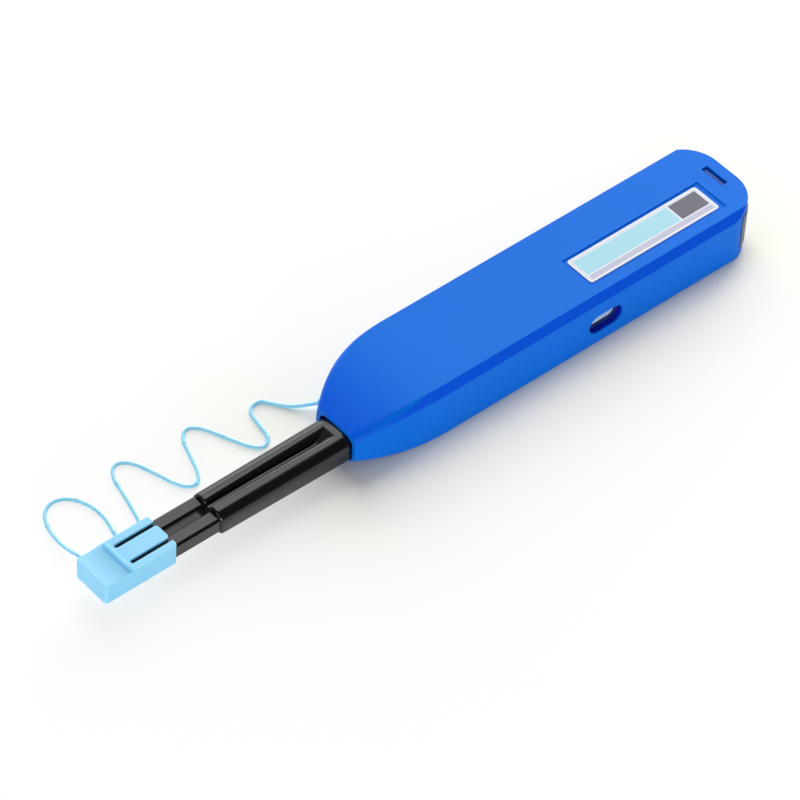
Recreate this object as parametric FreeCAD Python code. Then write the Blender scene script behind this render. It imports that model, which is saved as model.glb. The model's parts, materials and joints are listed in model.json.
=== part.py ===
"""Duplex fibre connector cleaning pen: housing, tape mechanism, sliding nozzle, tip cap and tether.

Millimetres.  X points toward the cleaning tips, Y toward the side with the window, Z up.
The origin is on the resting plane under the middle of the pen, from the rear face to the cap's front.
"""
import FreeCAD, Part
import math
import os

os.makedirs("parts", exist_ok=True)
V = FreeCAD.Vector

# ---------------------------------------------------------------- outer case
CASE_W = 29.2              # overall width of the case
CASE_H = 16.8              # overall height of the case
REAR_X = -105.7            # rear face of the case
CORNER_R = 10.7            # plan radius of the two rear corners
WALL = 1.8                 # moulded wall
CHAMFER_IN = 1.45          # top side chamfers, measured across
CHAMFER_DOWN = 2.45        # top side chamfers, measured down
EDGE_R = 0.8               # rounding of the long bottom edges
NOSE_X0 = 0.5              # where the straight case ends and the nose begins
NOSE_LEAD = 6.5            # straight stretch lofted with the nose, to keep it tangent
NOSE_POWER = 2.3           # how late the nose draws in
MOUTH_X = 29.2             # face of the nose mouth
MOUTH_R_TOP = 2.7
MOUTH_R_BOTTOM = 3.6
GUIDE_L = 7.2              # length of the bore that guides the sleeve
REAR_OPEN_X = REAR_X + 6.9 # side walls end here, the grey insert shows behind
LIP = 1.0                  # lip of the rear opening over the insert
REAR_RIM = 2.0             # thickness of the rear rim
INSERT_R = 9.9             # plan radius of the insert's corners, a touch fuller than the case's

# ---------------------------------------------------------------- nozzle axis
AXIS_FROM_SIDE = 10.6      # nozzle axis from the case's window side
AXIS_DROP = 0.2            # nozzle axis below the case's mid height
AXIS_Y = CASE_W / 2 - AXIS_FROM_SIDE
AXIS_Z = CASE_H / 2 - AXIS_DROP
PITCH = 6.25               # duplex connector pitch
STROKE = 12.0              # travel of the nozzle into the case
MOUTH_Y = (AXIS_Y - 7.5, AXIS_Y + 7.3)     # mouth outline, far and near side
MOUTH_Z = (AXIS_Z - 4.7, AXIS_Z + 4.8)     # mouth outline, bottom and top
GUIDE_X = MOUTH_X - GUIDE_L

# ---------------------------------------------------------------- label, latch slot
LABEL_X = (REAR_X + 11.0, REAR_X + 55.4)
LABEL_Y = (AXIS_Y - 4.3, AXIS_Y + 5.3)
LABEL_R = 0.8
LABEL_T = 0.2
RECESS_X = (LABEL_X[0] - 1.6, LABEL_X[1] + 0.8)
RECESS_Y = (LABEL_Y[0] - 0.8, LABEL_Y[1] + 0.8)
RECESS_DEPTH = 0.35
SLOT_X = (REAR_X + 3.2, REAR_X + 5.3)
SLOT_HALF_Y = 3.9
SLOT_GAP = 0.3             # latch tab to slot, each side

# ---------------------------------------------------------------- nozzle
SLEEVE_TIP_X = 70.0
RAMP_X = (MOUTH_X + 1.0, MOUTH_X + 6.0)    # ramp from the sleeve's flat base down to its valley
SLEEVE_BASE = (6.05, 3.55) # half width and half height at the base
SLEEVE_TIP = (5.7, 3.35)   # half width and half height at the tip
LOBE_INNER = (0.45, 0.75)  # inner edge of each lobe from the axis, at the base and the tip
LOBE_INNER_R = (2.3, 1.4)  # inner top rounding of each lobe, at the base and the tip
LOBE_R = 2.3               # outer top rounding
SLEEVE_LOW_R = 1.0         # lower roundings
TIP_ROUND = 0.8            # length of the rounded rim at the tip
VALLEY_DEPTH = 1.9
VALLEY_HALF = 1.6          # half width of the web between the lobes
RIB_H = 0.5                # tapered rib that rises from the valley toward the tip
BORE_GAP = 0.2             # sleeve to guide bore
FLANGE_T = 2.0
FLANGE = (6.6, 4.1)        # half width and half height of the stop flange
STOP_GAP = 0.3             # flange to guide wall at rest
GUIDE_W = 4.1              # tip guide, width across
GUIDE_H = 4.14
GUIDE_CHAMFER = 0.6
GUIDE_FRONT_X = 96.5
GUIDE_REAR_X = 4.0
GUIDE_GAP = 0.1            # tip guide to its channels
TIP_BORE_R = 1.45
TIP_BORE_X = GUIDE_FRONT_X - 12.5
TIP_BODY_X = (GUIDE_FRONT_X - 6.5, GUIDE_FRONT_X - 0.3)
TIP_HEAD_X = GUIDE_FRONT_X + 0.5
TIP_HEAD_R = 0.95
TIP_SPRING_R = 1.1
TIP_SPRING_WIRE = 0.3
TIP_SPRING_TURNS = 4
TAPE_WAY = 2.2             # square way for the tape inside each guide
TAPE_W = 1.2
TAPE_T = 0.16
FLANGE_FRONT_X = GUIDE_X - STOP_GAP
FLANGE_REAR_X = FLANGE_FRONT_X - FLANGE_T

# ---------------------------------------------------------------- cap
CAP_BLIND_X = TIP_HEAD_X + 0.4             # end of the cap's two pockets
CAP_X = (CAP_BLIND_X - 13.8, CAP_BLIND_X + 8.3)
CAP_W = 11.8
CAP_H = 6.1
CAP_R = 0.9
CAP_REAR_R = 1.2           # rear corner of the window-side wall
TONGUE_R = 0.8             # rear corners of the tongue between the slots
CAP_GAP = 0.15             # tip guide to cap
CAP_SLOT_W = 1.3
CAP_SLOT_X = CAP_X[1] - 11.0
RIDGE_X = CAP_X[1] - 8.1
RIDGE_T = 1.1
RIDGE_H = 1.0
RIDGE_HALF_Y = 5.2
DISH_DEPTH = 0.3
DISH_R = 18.0

# ---------------------------------------------------------------- chassis
CHASSIS_SIDE_GAP = 0.5     # case wall to chassis, each side
CHASSIS_FLAT_GAP = 0.3     # case wall to chassis, above and below
CHASSIS_HALF_Y = CASE_W / 2 - WALL - CHASSIS_SIDE_GAP
CHASSIS_Z = (WALL + CHASSIS_FLAT_GAP, CASE_H - WALL - CHASSIS_FLAT_GAP)
CHASSIS_X = (REAR_X + 9.8, NOSE_X0 - 1.0)
CHASSIS_WALL = 1.2
COVER_T = 1.2
INSIDE_HALF_Y = CHASSIS_HALF_Y - CHASSIS_WALL
FLOOR_Z = CHASSIS_Z[0] + CHASSIS_WALL
COVER_Z = CHASSIS_Z[1] - COVER_T
CARRIAGE_X = -14.0
SPRING_ROOM = 11.0         # bulkhead to carriage at full stroke
BULKHEAD_X = CARRIAGE_X - STROKE - SPRING_ROOM
BULKHEAD_T = 1.4

# ---------------------------------------------------------------- gear, rack and spools
GEAR_TEETH = 28
ADDENDUM_SHARE = 0.9       # of the tooth module
DEDENDUM_SHARE = 1.25
RACK_BACK_T = 1.65         # solid back of the rack, behind its teeth
RACK_BACK_GAP = 0.3        # rack to the tray's wall
RACK_BACK_Y = -(INSIDE_HALF_Y - RACK_BACK_GAP)
TOOTH_MODULE = (INSIDE_HALF_Y - RACK_BACK_GAP - RACK_BACK_T) / (GEAR_TEETH / 2 + DEDENDUM_SHARE)
TOOTH_SLACK = 0.14         # taken from each tooth's thickness
GEAR_Z = (FLOOR_Z + 0.2, FLOOR_Z + 1.7)
PITCH_R = TOOTH_MODULE * GEAR_TEETH / 2
TOOTH_HALF = (math.pi * TOOTH_MODULE / 2 - TOOTH_SLACK) / 2
FLANK = math.tan(math.radians(20))
ADDENDUM = ADDENDUM_SHARE * TOOTH_MODULE
DEDENDUM = DEDENDUM_SHARE * TOOTH_MODULE
SPOOL_R = INSIDE_HALF_Y - 0.7
SPOOL_Z = (GEAR_Z[1] + 0.3, COVER_Z - 0.6)
SPOOL_MID_Z = (SPOOL_Z[0] + SPOOL_Z[1]) / 2
SPOOL_FLANGE = 0.7
SPOOL_TO_BULKHEAD = 2.6
SPOOL_TO_SPOOL = 4.8
SPOOL_MID = 0.5            # flange between the two grooves
TAKEUP_X = BULKHEAD_X - BULKHEAD_T - SPOOL_TO_BULKHEAD - SPOOL_R
SUPPLY_X = TAKEUP_X - 2 * SPOOL_R - SPOOL_TO_SPOOL
HUB_R = 3.6
FRESH_TAPE_R = SPOOL_R - 0.8
USED_TAPE_R = HUB_R + 2.0
POST_R = 1.5
POST_GAP = 0.1
COLLAR_R = 4.2
RATCHET_TEETH = 30
RATCHET_DEPTH = 0.5
WINDOW_X = (TAKEUP_X - 5.6, TAKEUP_X + 5.7)
WINDOW_Z = (4.1, 10.0)

# ---------------------------------------------------------------- carriage and return spring
CARRIAGE = (6.2, AXIS_Z - FLOOR_Z - 0.7)   # half width and half height
POCKET_DEPTH = 2.0         # spring pocket in the carriage's rear
BULKHEAD_HALF_Y = 5.0
SPIGOT_L = 3.0             # spigot that centres the return spring
SPRING_R = 2.9             # mean radius of the return spring
SPRING_WIRE = 0.7
SPRING_TURNS = 8
COIL_STEPS = 10            # straight steps in one turn of a spring
WIRE_SIDES = 6             # sides of a spring's wire
RACK_X = (TAKEUP_X - 4.6, CARRIAGE_X + 6.0)
FOOT_IN = 0.8              # depth of the rack's foot in the carriage
FOOT_UP = 2.5              # height of the foot beside the carriage
SLIDE_RIB_T = 1.2
SLIDE_RIB_GAP = 0.1        # slide rib to carriage

# ---------------------------------------------------------------- screws and spring leaves
CORNER_BOSS = 1.7          # rear screws from the tray's inner walls
SCREW_AT = [
    (CHASSIS_X[0] + CHASSIS_WALL + CORNER_BOSS, -(INSIDE_HALF_Y - CORNER_BOSS)),
    (CHASSIS_X[0] + CHASSIS_WALL + CORNER_BOSS, INSIDE_HALF_Y - CORNER_BOSS),
    (BULKHEAD_X + 4.5, AXIS_Y - 9.0), (BULKHEAD_X + 4.5, INSIDE_HALF_Y - 1.6),
]
SCREW_R = 0.8
SCREW_HEAD_R = 1.6
SCREW_HEAD_T = 0.7
SCREW_GAP = 0.1
SCREW_BOTTOM = 1.0         # end of a screw above the tray's floor
BOSS_R = 1.9
LEAF_X = (SUPPLY_X + TAKEUP_X) / 2 - 0.2
LEAF_POST_R = 1.4
LEAF_PIN_R = 0.8
LEAF_T = 0.3
LEAF_SWING = 16.0          # degrees off the line from post to spool
PAWL_GAP = 0.15            # leaf tips to the rims that they touch in use
BRAKE_GAP = 0.1
PAWL_AT = (LEAF_X, INSIDE_HALF_Y - 2.1)
BRAKE_AT = (LEAF_X, -(PITCH_R - ADDENDUM - LEAF_POST_R - 0.3))
PAWL_Z = (SPOOL_Z[1] - SPOOL_FLANGE - 0.1, SPOOL_Z[1])
BRAKE_Z = (SPOOL_MID_Z - 0.7, SPOOL_MID_Z + 0.3)

# ---------------------------------------------------------------- tether
TETHER_D = 0.95
BEND_SHARE = 0.45          # share of the shorter run beside a bend that its arc takes up
TETHER_PLUG_R = 1.0
TETHER_PLUG_L = 6.0
TETHER_EXIT = (21.2, -CASE_W / 2 + 2.7, 1.9)        # end of the plug, where the tether starts
TETHER_FIRST = (26.1, -15.35, 0.58)        # first turn of the tether
TETHER_BOSS = (CAP_X[1] - 3.9, AXIS_Z - 1.8)        # x and z of the tether's root on the cap
TETHER_BOSS_R = 0.9
TETHER_BOSS_L = 0.7

SINK = 0.1                 # how far fused parts of one moulding reach into each other
PAST = 1.0                 # how far a cutter runs past the face that it opens


# ================================================================ helpers
def box(x, y, z):
    """A box from three (low, high) pairs."""
    return Part.makeBox(x[1] - x[0], y[1] - y[0], z[1] - z[0], V(x[0], y[0], z[0]))


def disc(x, y, z, radius, height):
    """An upright cylinder standing on z."""
    return Part.makeCylinder(radius, height, V(x, y, z), V(0, 0, 1))


def along_x(x, y, z, radius, length):
    """A cylinder whose axis runs along X."""
    return Part.makeCylinder(radius, length, V(x, y, z), V(1, 0, 0))


def corner_points(corner, to_prev, to_next):
    """Start, middle and end of an elliptic corner cut off between two sides."""
    start = corner + to_prev
    end = corner + to_next
    middle = corner + (to_prev + to_next) * (1 - math.sqrt(0.5))
    return start, middle, end


def section(x, y, z, top, bottom, blend=1.0, far_top=None):
    """Closed wire across X with cut corners.

    top and bottom are (across, down) sizes of the corner cuts, far_top that of the top corner on the
    -Y side where it differs; blend takes the top corners from a straight chamfer (0) to a round (1).
    """
    y0, y1 = y
    z0, z1 = z
    far = far_top or top
    corners = [
        (V(x, y1, z1), V(0, -top[0], 0), V(0, 0, -top[1]), blend),
        (V(x, y1, z0), V(0, 0, bottom[1]), V(0, -bottom[0], 0), 1.0),
        (V(x, y0, z0), V(0, bottom[0], 0), V(0, 0, bottom[1]), 1.0),
        (V(x, y0, z1), V(0, 0, -far[1]), V(0, far[0], 0), blend),
    ]
    cuts = []
    for corner, to_prev, to_next, amount in corners:
        start, middle, end = corner_points(corner, to_prev, to_next)
        flat = (start + end) * 0.5
        cuts.append((start, flat + (middle - flat) * amount, end, amount))
    edges = []
    for i, (start, middle, end, amount) in enumerate(cuts):
        if amount < 0.02:
            edges.append(Part.makeLine(start, end))
        else:
            edges.append(Part.Arc(start, middle, end).toShape())
        edges.append(Part.makeLine(end, cuts[(i + 1) % 4][0]))
    return Part.Wire(edges)


def rounded(x, half, radius, low):
    """Rectangle across X about the nozzle axis, with its top and its lower roundings."""
    return section(x, (AXIS_Y - half[0], AXIS_Y + half[0]), (AXIS_Z - half[1], AXIS_Z + half[1]),
                   (radius, radius), (low, low))


def loft(wires, ruled=False):
    return Part.makeLoft(wires, True, ruled)


def prism(wire, length):
    """A section wire pulled along X."""
    return Part.Face(wire).extrude(V(length, 0, 0))


def plate(points, z, height):
    """An upright prism on a closed polygon."""
    ring = [V(px, py, z) for px, py in points]
    return Part.Face(Part.makePolygon(ring + [ring[0]])).extrude(V(0, 0, height))


def export(name, shapes):
    """Write one node; a node of several pieces keeps each as its own solid."""
    shape = shapes if not isinstance(shapes, (list, tuple)) else Part.makeCompound(list(shapes))
    shape.exportStep("parts/%s.step" % name)
    solids = shape.Solids
    print("%-18s solids %d volume %.1f mm3 valid %s" % (
        name, len(solids), sum(s.Volume for s in solids), shape.isValid()))


# ================================================================ outer case
def case_outline(inset, x_front, corner=CORNER_R):
    """Plan outline of the case with its rounded rear end, inset by a wall."""
    half = CASE_W / 2 - inset
    radius = corner - inset
    cy = CASE_W / 2 - corner
    cx = REAR_X + corner
    s = math.sqrt(0.5) * radius
    rear = REAR_X + inset
    edges = [
        Part.makeLine(V(x_front, half, 0), V(cx, half, 0)),
        Part.Arc(V(cx, half, 0), V(cx - s, cy + s, 0), V(rear, cy, 0)).toShape(),
        Part.makeLine(V(rear, cy, 0), V(rear, -cy, 0)),
        Part.Arc(V(rear, -cy, 0), V(cx - s, -cy - s, 0), V(cx, -half, 0)).toShape(),
        Part.makeLine(V(cx, -half, 0), V(x_front, -half, 0)),
        Part.makeLine(V(x_front, -half, 0), V(x_front, half, 0)),
    ]
    return Part.Wire(edges)


def outline_block(inset, x_front, z, corner=CORNER_R):
    """Block on the case's plan outline, ended squarely at x_front."""
    half = CASE_W / 2
    outline = case_outline(inset, max(x_front, REAR_X + CORNER_R) + 1, corner)
    block = Part.Face(outline).extrude(V(0, 0, z[1] - z[0]))
    block.translate(V(0, 0, z[0]))
    return block.common(box((REAR_X - 1, x_front), (-half - 1, half + 1), (z[0] - 1, z[1] + 1)))


def nose_section(x, inset=0.0):
    """Section of the nose at x, drawn in by its own law from the straight case to the mouth."""
    u = max(0.0, (x - NOSE_X0) / (MOUTH_X - NOSE_X0))
    f = u ** NOSE_POWER
    half = CASE_W / 2
    y = (-half + (half + MOUTH_Y[0]) * f + inset, half - (half - MOUTH_Y[1]) * f - inset)
    z = (MOUTH_Z[0] * f + inset, CASE_H - (CASE_H - MOUTH_Z[1]) * f - inset)
    g = u ** 1.5
    across = CHAMFER_IN + (MOUTH_R_TOP - CHAMFER_IN) * g
    down = CHAMFER_DOWN + (MOUTH_R_TOP - CHAMFER_DOWN) * g
    low = EDGE_R + (MOUTH_R_BOTTOM - EDGE_R) * g
    if inset:
        across, down, low = (max(0.6, c - 0.55 * inset) for c in (across, down, low))
    return section(x, y, z, (across, down), (low, low), max(u, 0.03))


def nose(x_end, inset, steps, x_start):
    """Lofted nose between two stations; the first stations keep it tangent to the case."""
    lead = [x_start, x_start + (NOSE_X0 - x_start) * 0.5]
    stations = lead + [NOSE_X0 + (x_end - NOSE_X0) * i / steps for i in range(1, steps + 1)]
    return loft([nose_section(x, inset) for x in stations])


def obround(x, z, y0, depth):
    """Obround prism through a side wall, pulled along +Y."""
    r = (z[1] - z[0]) / 2
    cz = (z[0] + z[1]) / 2
    bar = box((x[0] + r, x[1] - r), (y0, y0 + depth), z)
    for cx in (x[0] + r, x[1] - r):
        bar = bar.fuse(Part.makeCylinder(r, depth, V(cx, y0, cz), V(0, 1, 0)))
    return bar.removeSplitter()


def tether_plug():
    """Plug on the end of the tether, pressed into the far lower corner of the nose."""
    aim = V(*TETHER_FIRST) - V(*TETHER_EXIT)
    aim.normalize()
    tail = V(*TETHER_EXIT) - aim * TETHER_PLUG_L
    return Part.makeCylinder(TETHER_PLUG_R, TETHER_PLUG_L, tail, aim)


def outer_case():
    """Moulded case: straight body, lofted nose, hollow inside, with its openings and recess."""
    half = CASE_W / 2
    lead_x = NOSE_X0 - NOSE_LEAD
    body = prism(section(REAR_X, (-half, half), (0, CASE_H), (CHAMFER_IN, CHAMFER_DOWN),
                         (EDGE_R, EDGE_R), 0.0), lead_x - REAR_X)
    body = body.common(outline_block(0.0, lead_x + 1, (-1, CASE_H + 1)))
    front = nose(MOUTH_X, 0.0, 8, lead_x)
    shell = body.fuse(front)

    inside_z = (WALL, CASE_H - WALL)
    shell = shell.cut(outline_block(REAR_RIM, lead_x + 0.5, inside_z))
    shell = shell.cut(nose(GUIDE_X, WALL, 6, lead_x))
    open_z = (inside_z[0] + LIP, inside_z[1] - LIP)
    shell = shell.cut(box((REAR_X - 1, REAR_OPEN_X), (-half - 1, half + 1), open_z))

    bore = rounded(GUIDE_X - PAST, (SLEEVE_BASE[0] + BORE_GAP, SLEEVE_BASE[1] + BORE_GAP),
                   LOBE_R + BORE_GAP, SLEEVE_LOW_R + BORE_GAP)
    shell = shell.cut(prism(bore, GUIDE_L + 2 * PAST))
    shell = shell.cut(box(RECESS_X, RECESS_Y, (CASE_H - RECESS_DEPTH, CASE_H + 1)))
    shell = shell.cut(obround(WINDOW_X, WINDOW_Z, half - WALL - 1, WALL + 2))
    shell = shell.cut(box(SLOT_X, (-SLOT_HALF_Y, SLOT_HALF_Y), (CASE_H - WALL - 1, CASE_H + 1)))
    return shell.cut(tether_plug())


def label():
    r = LABEL_R
    z = CASE_H - RECESS_DEPTH
    bar = box((LABEL_X[0] + r, LABEL_X[1] - r), LABEL_Y, (z, z + LABEL_T))
    bar = bar.fuse(box(LABEL_X, (LABEL_Y[0] + r, LABEL_Y[1] - r), (z, z + LABEL_T)))
    for x in (LABEL_X[0] + r, LABEL_X[1] - r):
        for y in (LABEL_Y[0] + r, LABEL_Y[1] - r):
            bar = bar.fuse(disc(x, y, z, r, LABEL_T))
    return bar.removeSplitter()


def rear_insert():
    """Grey end plug: a curved face between the lips, a block behind them and a latch tab."""
    z_in = (WALL + 0.2, CASE_H - WALL - 0.2)
    z_face = (WALL + LIP + 0.2, CASE_H - WALL - LIP - 0.2)
    front = CHASSIS_X[0] - 0.2
    face = outline_block(0.0, REAR_OPEN_X - 0.2, z_face, INSERT_R)
    block = outline_block(REAR_RIM + 0.3, front, z_in)
    plug = face.fuse(block)
    hollow = outline_block(REAR_RIM + 1.8, front + 1, (z_in[0] + 1.4, z_in[1] - 1.4))
    plug = plug.cut(hollow)
    tab_y = SLOT_HALF_Y - SLOT_GAP
    tab = box((SLOT_X[0] + SLOT_GAP, SLOT_X[1] - SLOT_GAP), (-tab_y, tab_y), (z_in[1] - 0.5, CASE_H - 0.6))
    tab = tab.makeChamfer(0.3, [e for e in tab.Edges if e.BoundBox.ZMin > CASE_H - 0.7 and
                                e.BoundBox.YLength > 5])
    return plug.fuse(tab).removeSplitter()


# ================================================================ chassis
def chassis_tray():
    """Open tray: floor, side walls, spool posts, spring bulkhead and slide ribs."""
    tray = box(CHASSIS_X, (-CHASSIS_HALF_Y, CHASSIS_HALF_Y), (CHASSIS_Z[0], COVER_Z))
    tray = tray.cut(box((CHASSIS_X[0] + CHASSIS_WALL, CHASSIS_X[1] + PAST), (-INSIDE_HALF_Y, INSIDE_HALF_Y),
                        (FLOOR_Z, COVER_Z + PAST)))
    foot = FLOOR_Z - SINK
    adds = [disc(x, 0, foot, POST_R, COVER_Z - foot) for x in (TAKEUP_X, SUPPLY_X)]
    adds += [disc(x, y, foot, BOSS_R, COVER_Z - foot) for x, y in SCREW_AT]
    adds.append(box((BULKHEAD_X - BULKHEAD_T, BULKHEAD_X),
                    (AXIS_Y - BULKHEAD_HALF_Y, AXIS_Y + BULKHEAD_HALF_Y), (foot, COVER_Z)))
    adds.append(along_x(BULKHEAD_X - SINK, AXIS_Y, AXIS_Z, SPRING_R - SPRING_WIRE, SPIGOT_L + SINK))
    rib_z = (foot, AXIS_Z - CARRIAGE[1] - SLIDE_RIB_GAP)
    for side in (-1, 1):
        y = AXIS_Y + side * (CARRIAGE[0] - 1.5)
        adds.append(box((CARRIAGE_X - STROKE - 1.0, CHASSIS_X[1]), (y - SLIDE_RIB_T / 2, y + SLIDE_RIB_T / 2), rib_z))
    for (x, y), (low, high) in ((PAWL_AT, PAWL_Z), (BRAKE_AT, BRAKE_Z)):
        adds.append(disc(x, y, foot, LEAF_POST_R, low - foot))
        adds.append(disc(x, y, low - SINK, LEAF_PIN_R, high - low + SINK + 0.2))
    for piece in adds:
        tray = tray.fuse(piece)
    for x, y in SCREW_AT:
        tray = tray.cut(disc(x, y, FLOOR_Z + SCREW_BOTTOM, SCREW_R, COVER_Z))
    return tray.removeSplitter()


def chassis_cover():
    """Flat lid of the tray with a countersink for each screw."""
    top = CHASSIS_Z[1]
    cover = box(CHASSIS_X, (-CHASSIS_HALF_Y, CHASSIS_HALF_Y), (COVER_Z, top))
    for x, y in SCREW_AT:
        cover = cover.cut(disc(x, y, COVER_Z - PAST, SCREW_R + SCREW_GAP, COVER_T + 2 * PAST))
        cover = cover.cut(disc(x, y, top - SCREW_HEAD_T, SCREW_HEAD_R + SCREW_GAP, SCREW_HEAD_T + PAST))
    return cover


def cover_screws():
    """Four pan-head screws through the cover into the tray's bosses."""
    low = FLOOR_Z + SCREW_BOTTOM
    head_z = CHASSIS_Z[1] - SCREW_HEAD_T
    screws = []
    for x, y in SCREW_AT:
        shank = disc(x, y, low, SCREW_R, head_z - low + SINK)
        screws.append(shank.fuse(disc(x, y, head_z, SCREW_HEAD_R, SCREW_HEAD_T)).removeSplitter())
    return screws


def leaf(hub, z, spool_x, gap):
    """Spring leaf: an eye on its post and a blade that ends just off a spool's rim."""
    low, high = z
    px, py = hub
    dx, dy = px - spool_x, py
    reach = math.hypot(dx, dy)
    swing = math.radians(LEAF_SWING if py > 0 else -LEAF_SWING)
    ux, uy = dx / reach, dy / reach
    ux, uy = (ux * math.cos(swing) + uy * math.sin(swing), -ux * math.sin(swing) + uy * math.cos(swing))
    rim_r = SPOOL_R + gap
    tip = (spool_x + rim_r * ux, rim_r * uy)
    lx, ly = tip[0] - px, tip[1] - py
    length = math.hypot(lx, ly)
    nx, ny = -ly / length * LEAF_T / 2, lx / length * LEAF_T / 2
    blade = plate([(px + nx, py + ny), (tip[0] + nx, tip[1] + ny), (tip[0] - nx, tip[1] - ny),
                   (px - nx, py - ny)], low, high - low)
    rim = disc(spool_x, 0, low - PAST, rim_r, high - low + 2 * PAST)
    eye = disc(px, py, low, LEAF_POST_R, high - low)
    pin = disc(px, py, low - PAST, LEAF_PIN_R, high - low + 2 * PAST)
    return eye.fuse(blade.cut(rim)).cut(pin).removeSplitter()


# ================================================================ spools
def bored(shape, x):
    """A piece that turns on a spool post, with its running clearance."""
    return shape.cut(disc(x, 0, 0, POST_R + POST_GAP, CASE_H)).removeSplitter()


def spool(x, teeth):
    """Two-groove spool; the take-up one has a ratchet on its top flange."""
    z0, z1 = SPOOL_Z
    body = disc(x, 0, z0, HUB_R, z1 - z0)
    body = body.fuse(disc(x, 0, z0, SPOOL_R, SPOOL_FLANGE))
    body = body.fuse(disc(x, 0, SPOOL_MID_Z - SPOOL_MID / 2, SPOOL_R, SPOOL_MID))
    if teeth:
        low = SPOOL_R - RATCHET_DEPTH
        points = []
        for i in range(teeth):
            a = 2 * math.pi * i / teeth
            b = 2 * math.pi * (i + 0.92) / teeth
            points.append((x + SPOOL_R * math.cos(a), SPOOL_R * math.sin(a)))
            points.append((x + low * math.cos(b), low * math.sin(b)))
        body = body.fuse(plate(points, z1 - SPOOL_FLANGE, SPOOL_FLANGE))
    else:
        body = body.fuse(disc(x, 0, z1 - SPOOL_FLANGE, SPOOL_R, SPOOL_FLANGE))
        body = body.fuse(disc(x, 0, GEAR_Z[0], COLLAR_R, z0 - GEAR_Z[0] + SINK))
    return bored(body, x)


def tape_pack(x, radius):
    """Tape wound in both grooves of a spool."""
    grooves = ((SPOOL_Z[0] + SPOOL_FLANGE, SPOOL_MID_Z - SPOOL_MID / 2),
               (SPOOL_MID_Z + SPOOL_MID / 2, SPOOL_Z[1] - SPOOL_FLANGE))
    packs = []
    for low, high in grooves:
        hub = disc(x, 0, low - PAST, HUB_R, high - low + 2 * PAST)
        packs.append(disc(x, 0, low, radius, high - low).cut(hub))
    return packs


def takeup_gear():
    """Gear under the take-up spool, driven by the rack; one tooth gap faces the rack at rest."""
    points = []
    root_r, tip_r = PITCH_R - DEDENDUM, PITCH_R + ADDENDUM
    for i in range(GEAR_TEETH):
        centre = -math.pi / 2 + 2 * math.pi * (i + 0.5) / GEAR_TEETH
        for r, side in ((root_r, -1), (tip_r, -1), (tip_r, 1), (root_r, 1)):
            half = TOOTH_HALF - (r - PITCH_R) * FLANK * (1.0 if r > PITCH_R else 0.45)
            angle = centre + side * half / r
            points.append((TAKEUP_X + r * math.cos(angle), r * math.sin(angle)))
    gear = plate(points, GEAR_Z[0], GEAR_Z[1] - GEAR_Z[0])
    gear = gear.fuse(disc(TAKEUP_X, 0, GEAR_Z[1] - SINK, COLLAR_R, SPOOL_Z[0] - GEAR_Z[1] + SINK))
    return bored(gear, TAKEUP_X)


# ================================================================ nozzle
def drive_rack():
    """Toothed bar beside the spools with a foot under the carriage."""
    step = math.pi * TOOTH_MODULE
    root_y, tip_y = -PITCH_R - DEDENDUM, -PITCH_R + ADDENDUM
    low = TOOTH_HALF + DEDENDUM * FLANK
    high = TOOTH_HALF - ADDENDUM * FLANK
    first = math.ceil((RACK_X[0] - TAKEUP_X) / step + 0.64)
    last = math.floor((STROKE + 4.0) / step)
    points = [(RACK_X[0], RACK_BACK_Y), (RACK_X[0], root_y)]
    for i in range(first, last + 1):
        cx = TAKEUP_X + i * step
        points += [(cx - low, root_y), (cx - high, tip_y), (cx + high, tip_y), (cx + low, root_y)]
    points += [(RACK_X[1], root_y), (RACK_X[1], RACK_BACK_Y)]
    bar = plate(points, GEAR_Z[0], GEAR_Z[1] - GEAR_Z[0])
    foot = box((CARRIAGE_X, RACK_X[1]), (root_y - 0.2, AXIS_Y - CARRIAGE[0] + FOOT_IN),
               (GEAR_Z[0] + SINK, AXIS_Z - CARRIAGE[1] + FOOT_UP))
    return bar.fuse(foot).removeSplitter()


def guide_ys():
    return (AXIS_Y - PITCH / 2, AXIS_Y + PITCH / 2)


def channel(y, x0, x1, gap):
    """Square way for a tip guide."""
    hy, hz = GUIDE_W / 2 + gap, GUIDE_H / 2 + gap
    return box((x0, x1), (y - hy, y + hy), (AXIS_Z - hz, AXIS_Z + hz))


def tape_way(y, x0, x1):
    """Square way along X for the tape, behind one tip."""
    way = TAPE_WAY / 2
    return box((x0, x1), (y - way, y + way), (AXIS_Z - way, AXIS_Z + way))


def carriage():
    """Slide block behind the sleeve: guide pockets in front, spring pocket behind."""
    half_y, half_z = CARRIAGE
    block = box((CARRIAGE_X, FLANGE_REAR_X), (AXIS_Y - half_y, AXIS_Y + half_y), (AXIS_Z - half_z, AXIS_Z + half_z))
    long_edges = [e for e in block.Edges if e.BoundBox.XLength > FLANGE_REAR_X - CARRIAGE_X - 1]
    block = block.makeChamfer(0.8, long_edges)
    for y in guide_ys():
        block = block.cut(channel(y, GUIDE_REAR_X, FLANGE_REAR_X + PAST, 0.0))
        block = block.cut(tape_way(y, CARRIAGE_X - PAST, GUIDE_REAR_X + PAST))
    pocket = along_x(CARRIAGE_X - PAST, AXIS_Y, AXIS_Z, SPRING_R + SPRING_WIRE, POCKET_DEPTH + PAST)
    return block.cut(pocket).cut(drive_rack())


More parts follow.
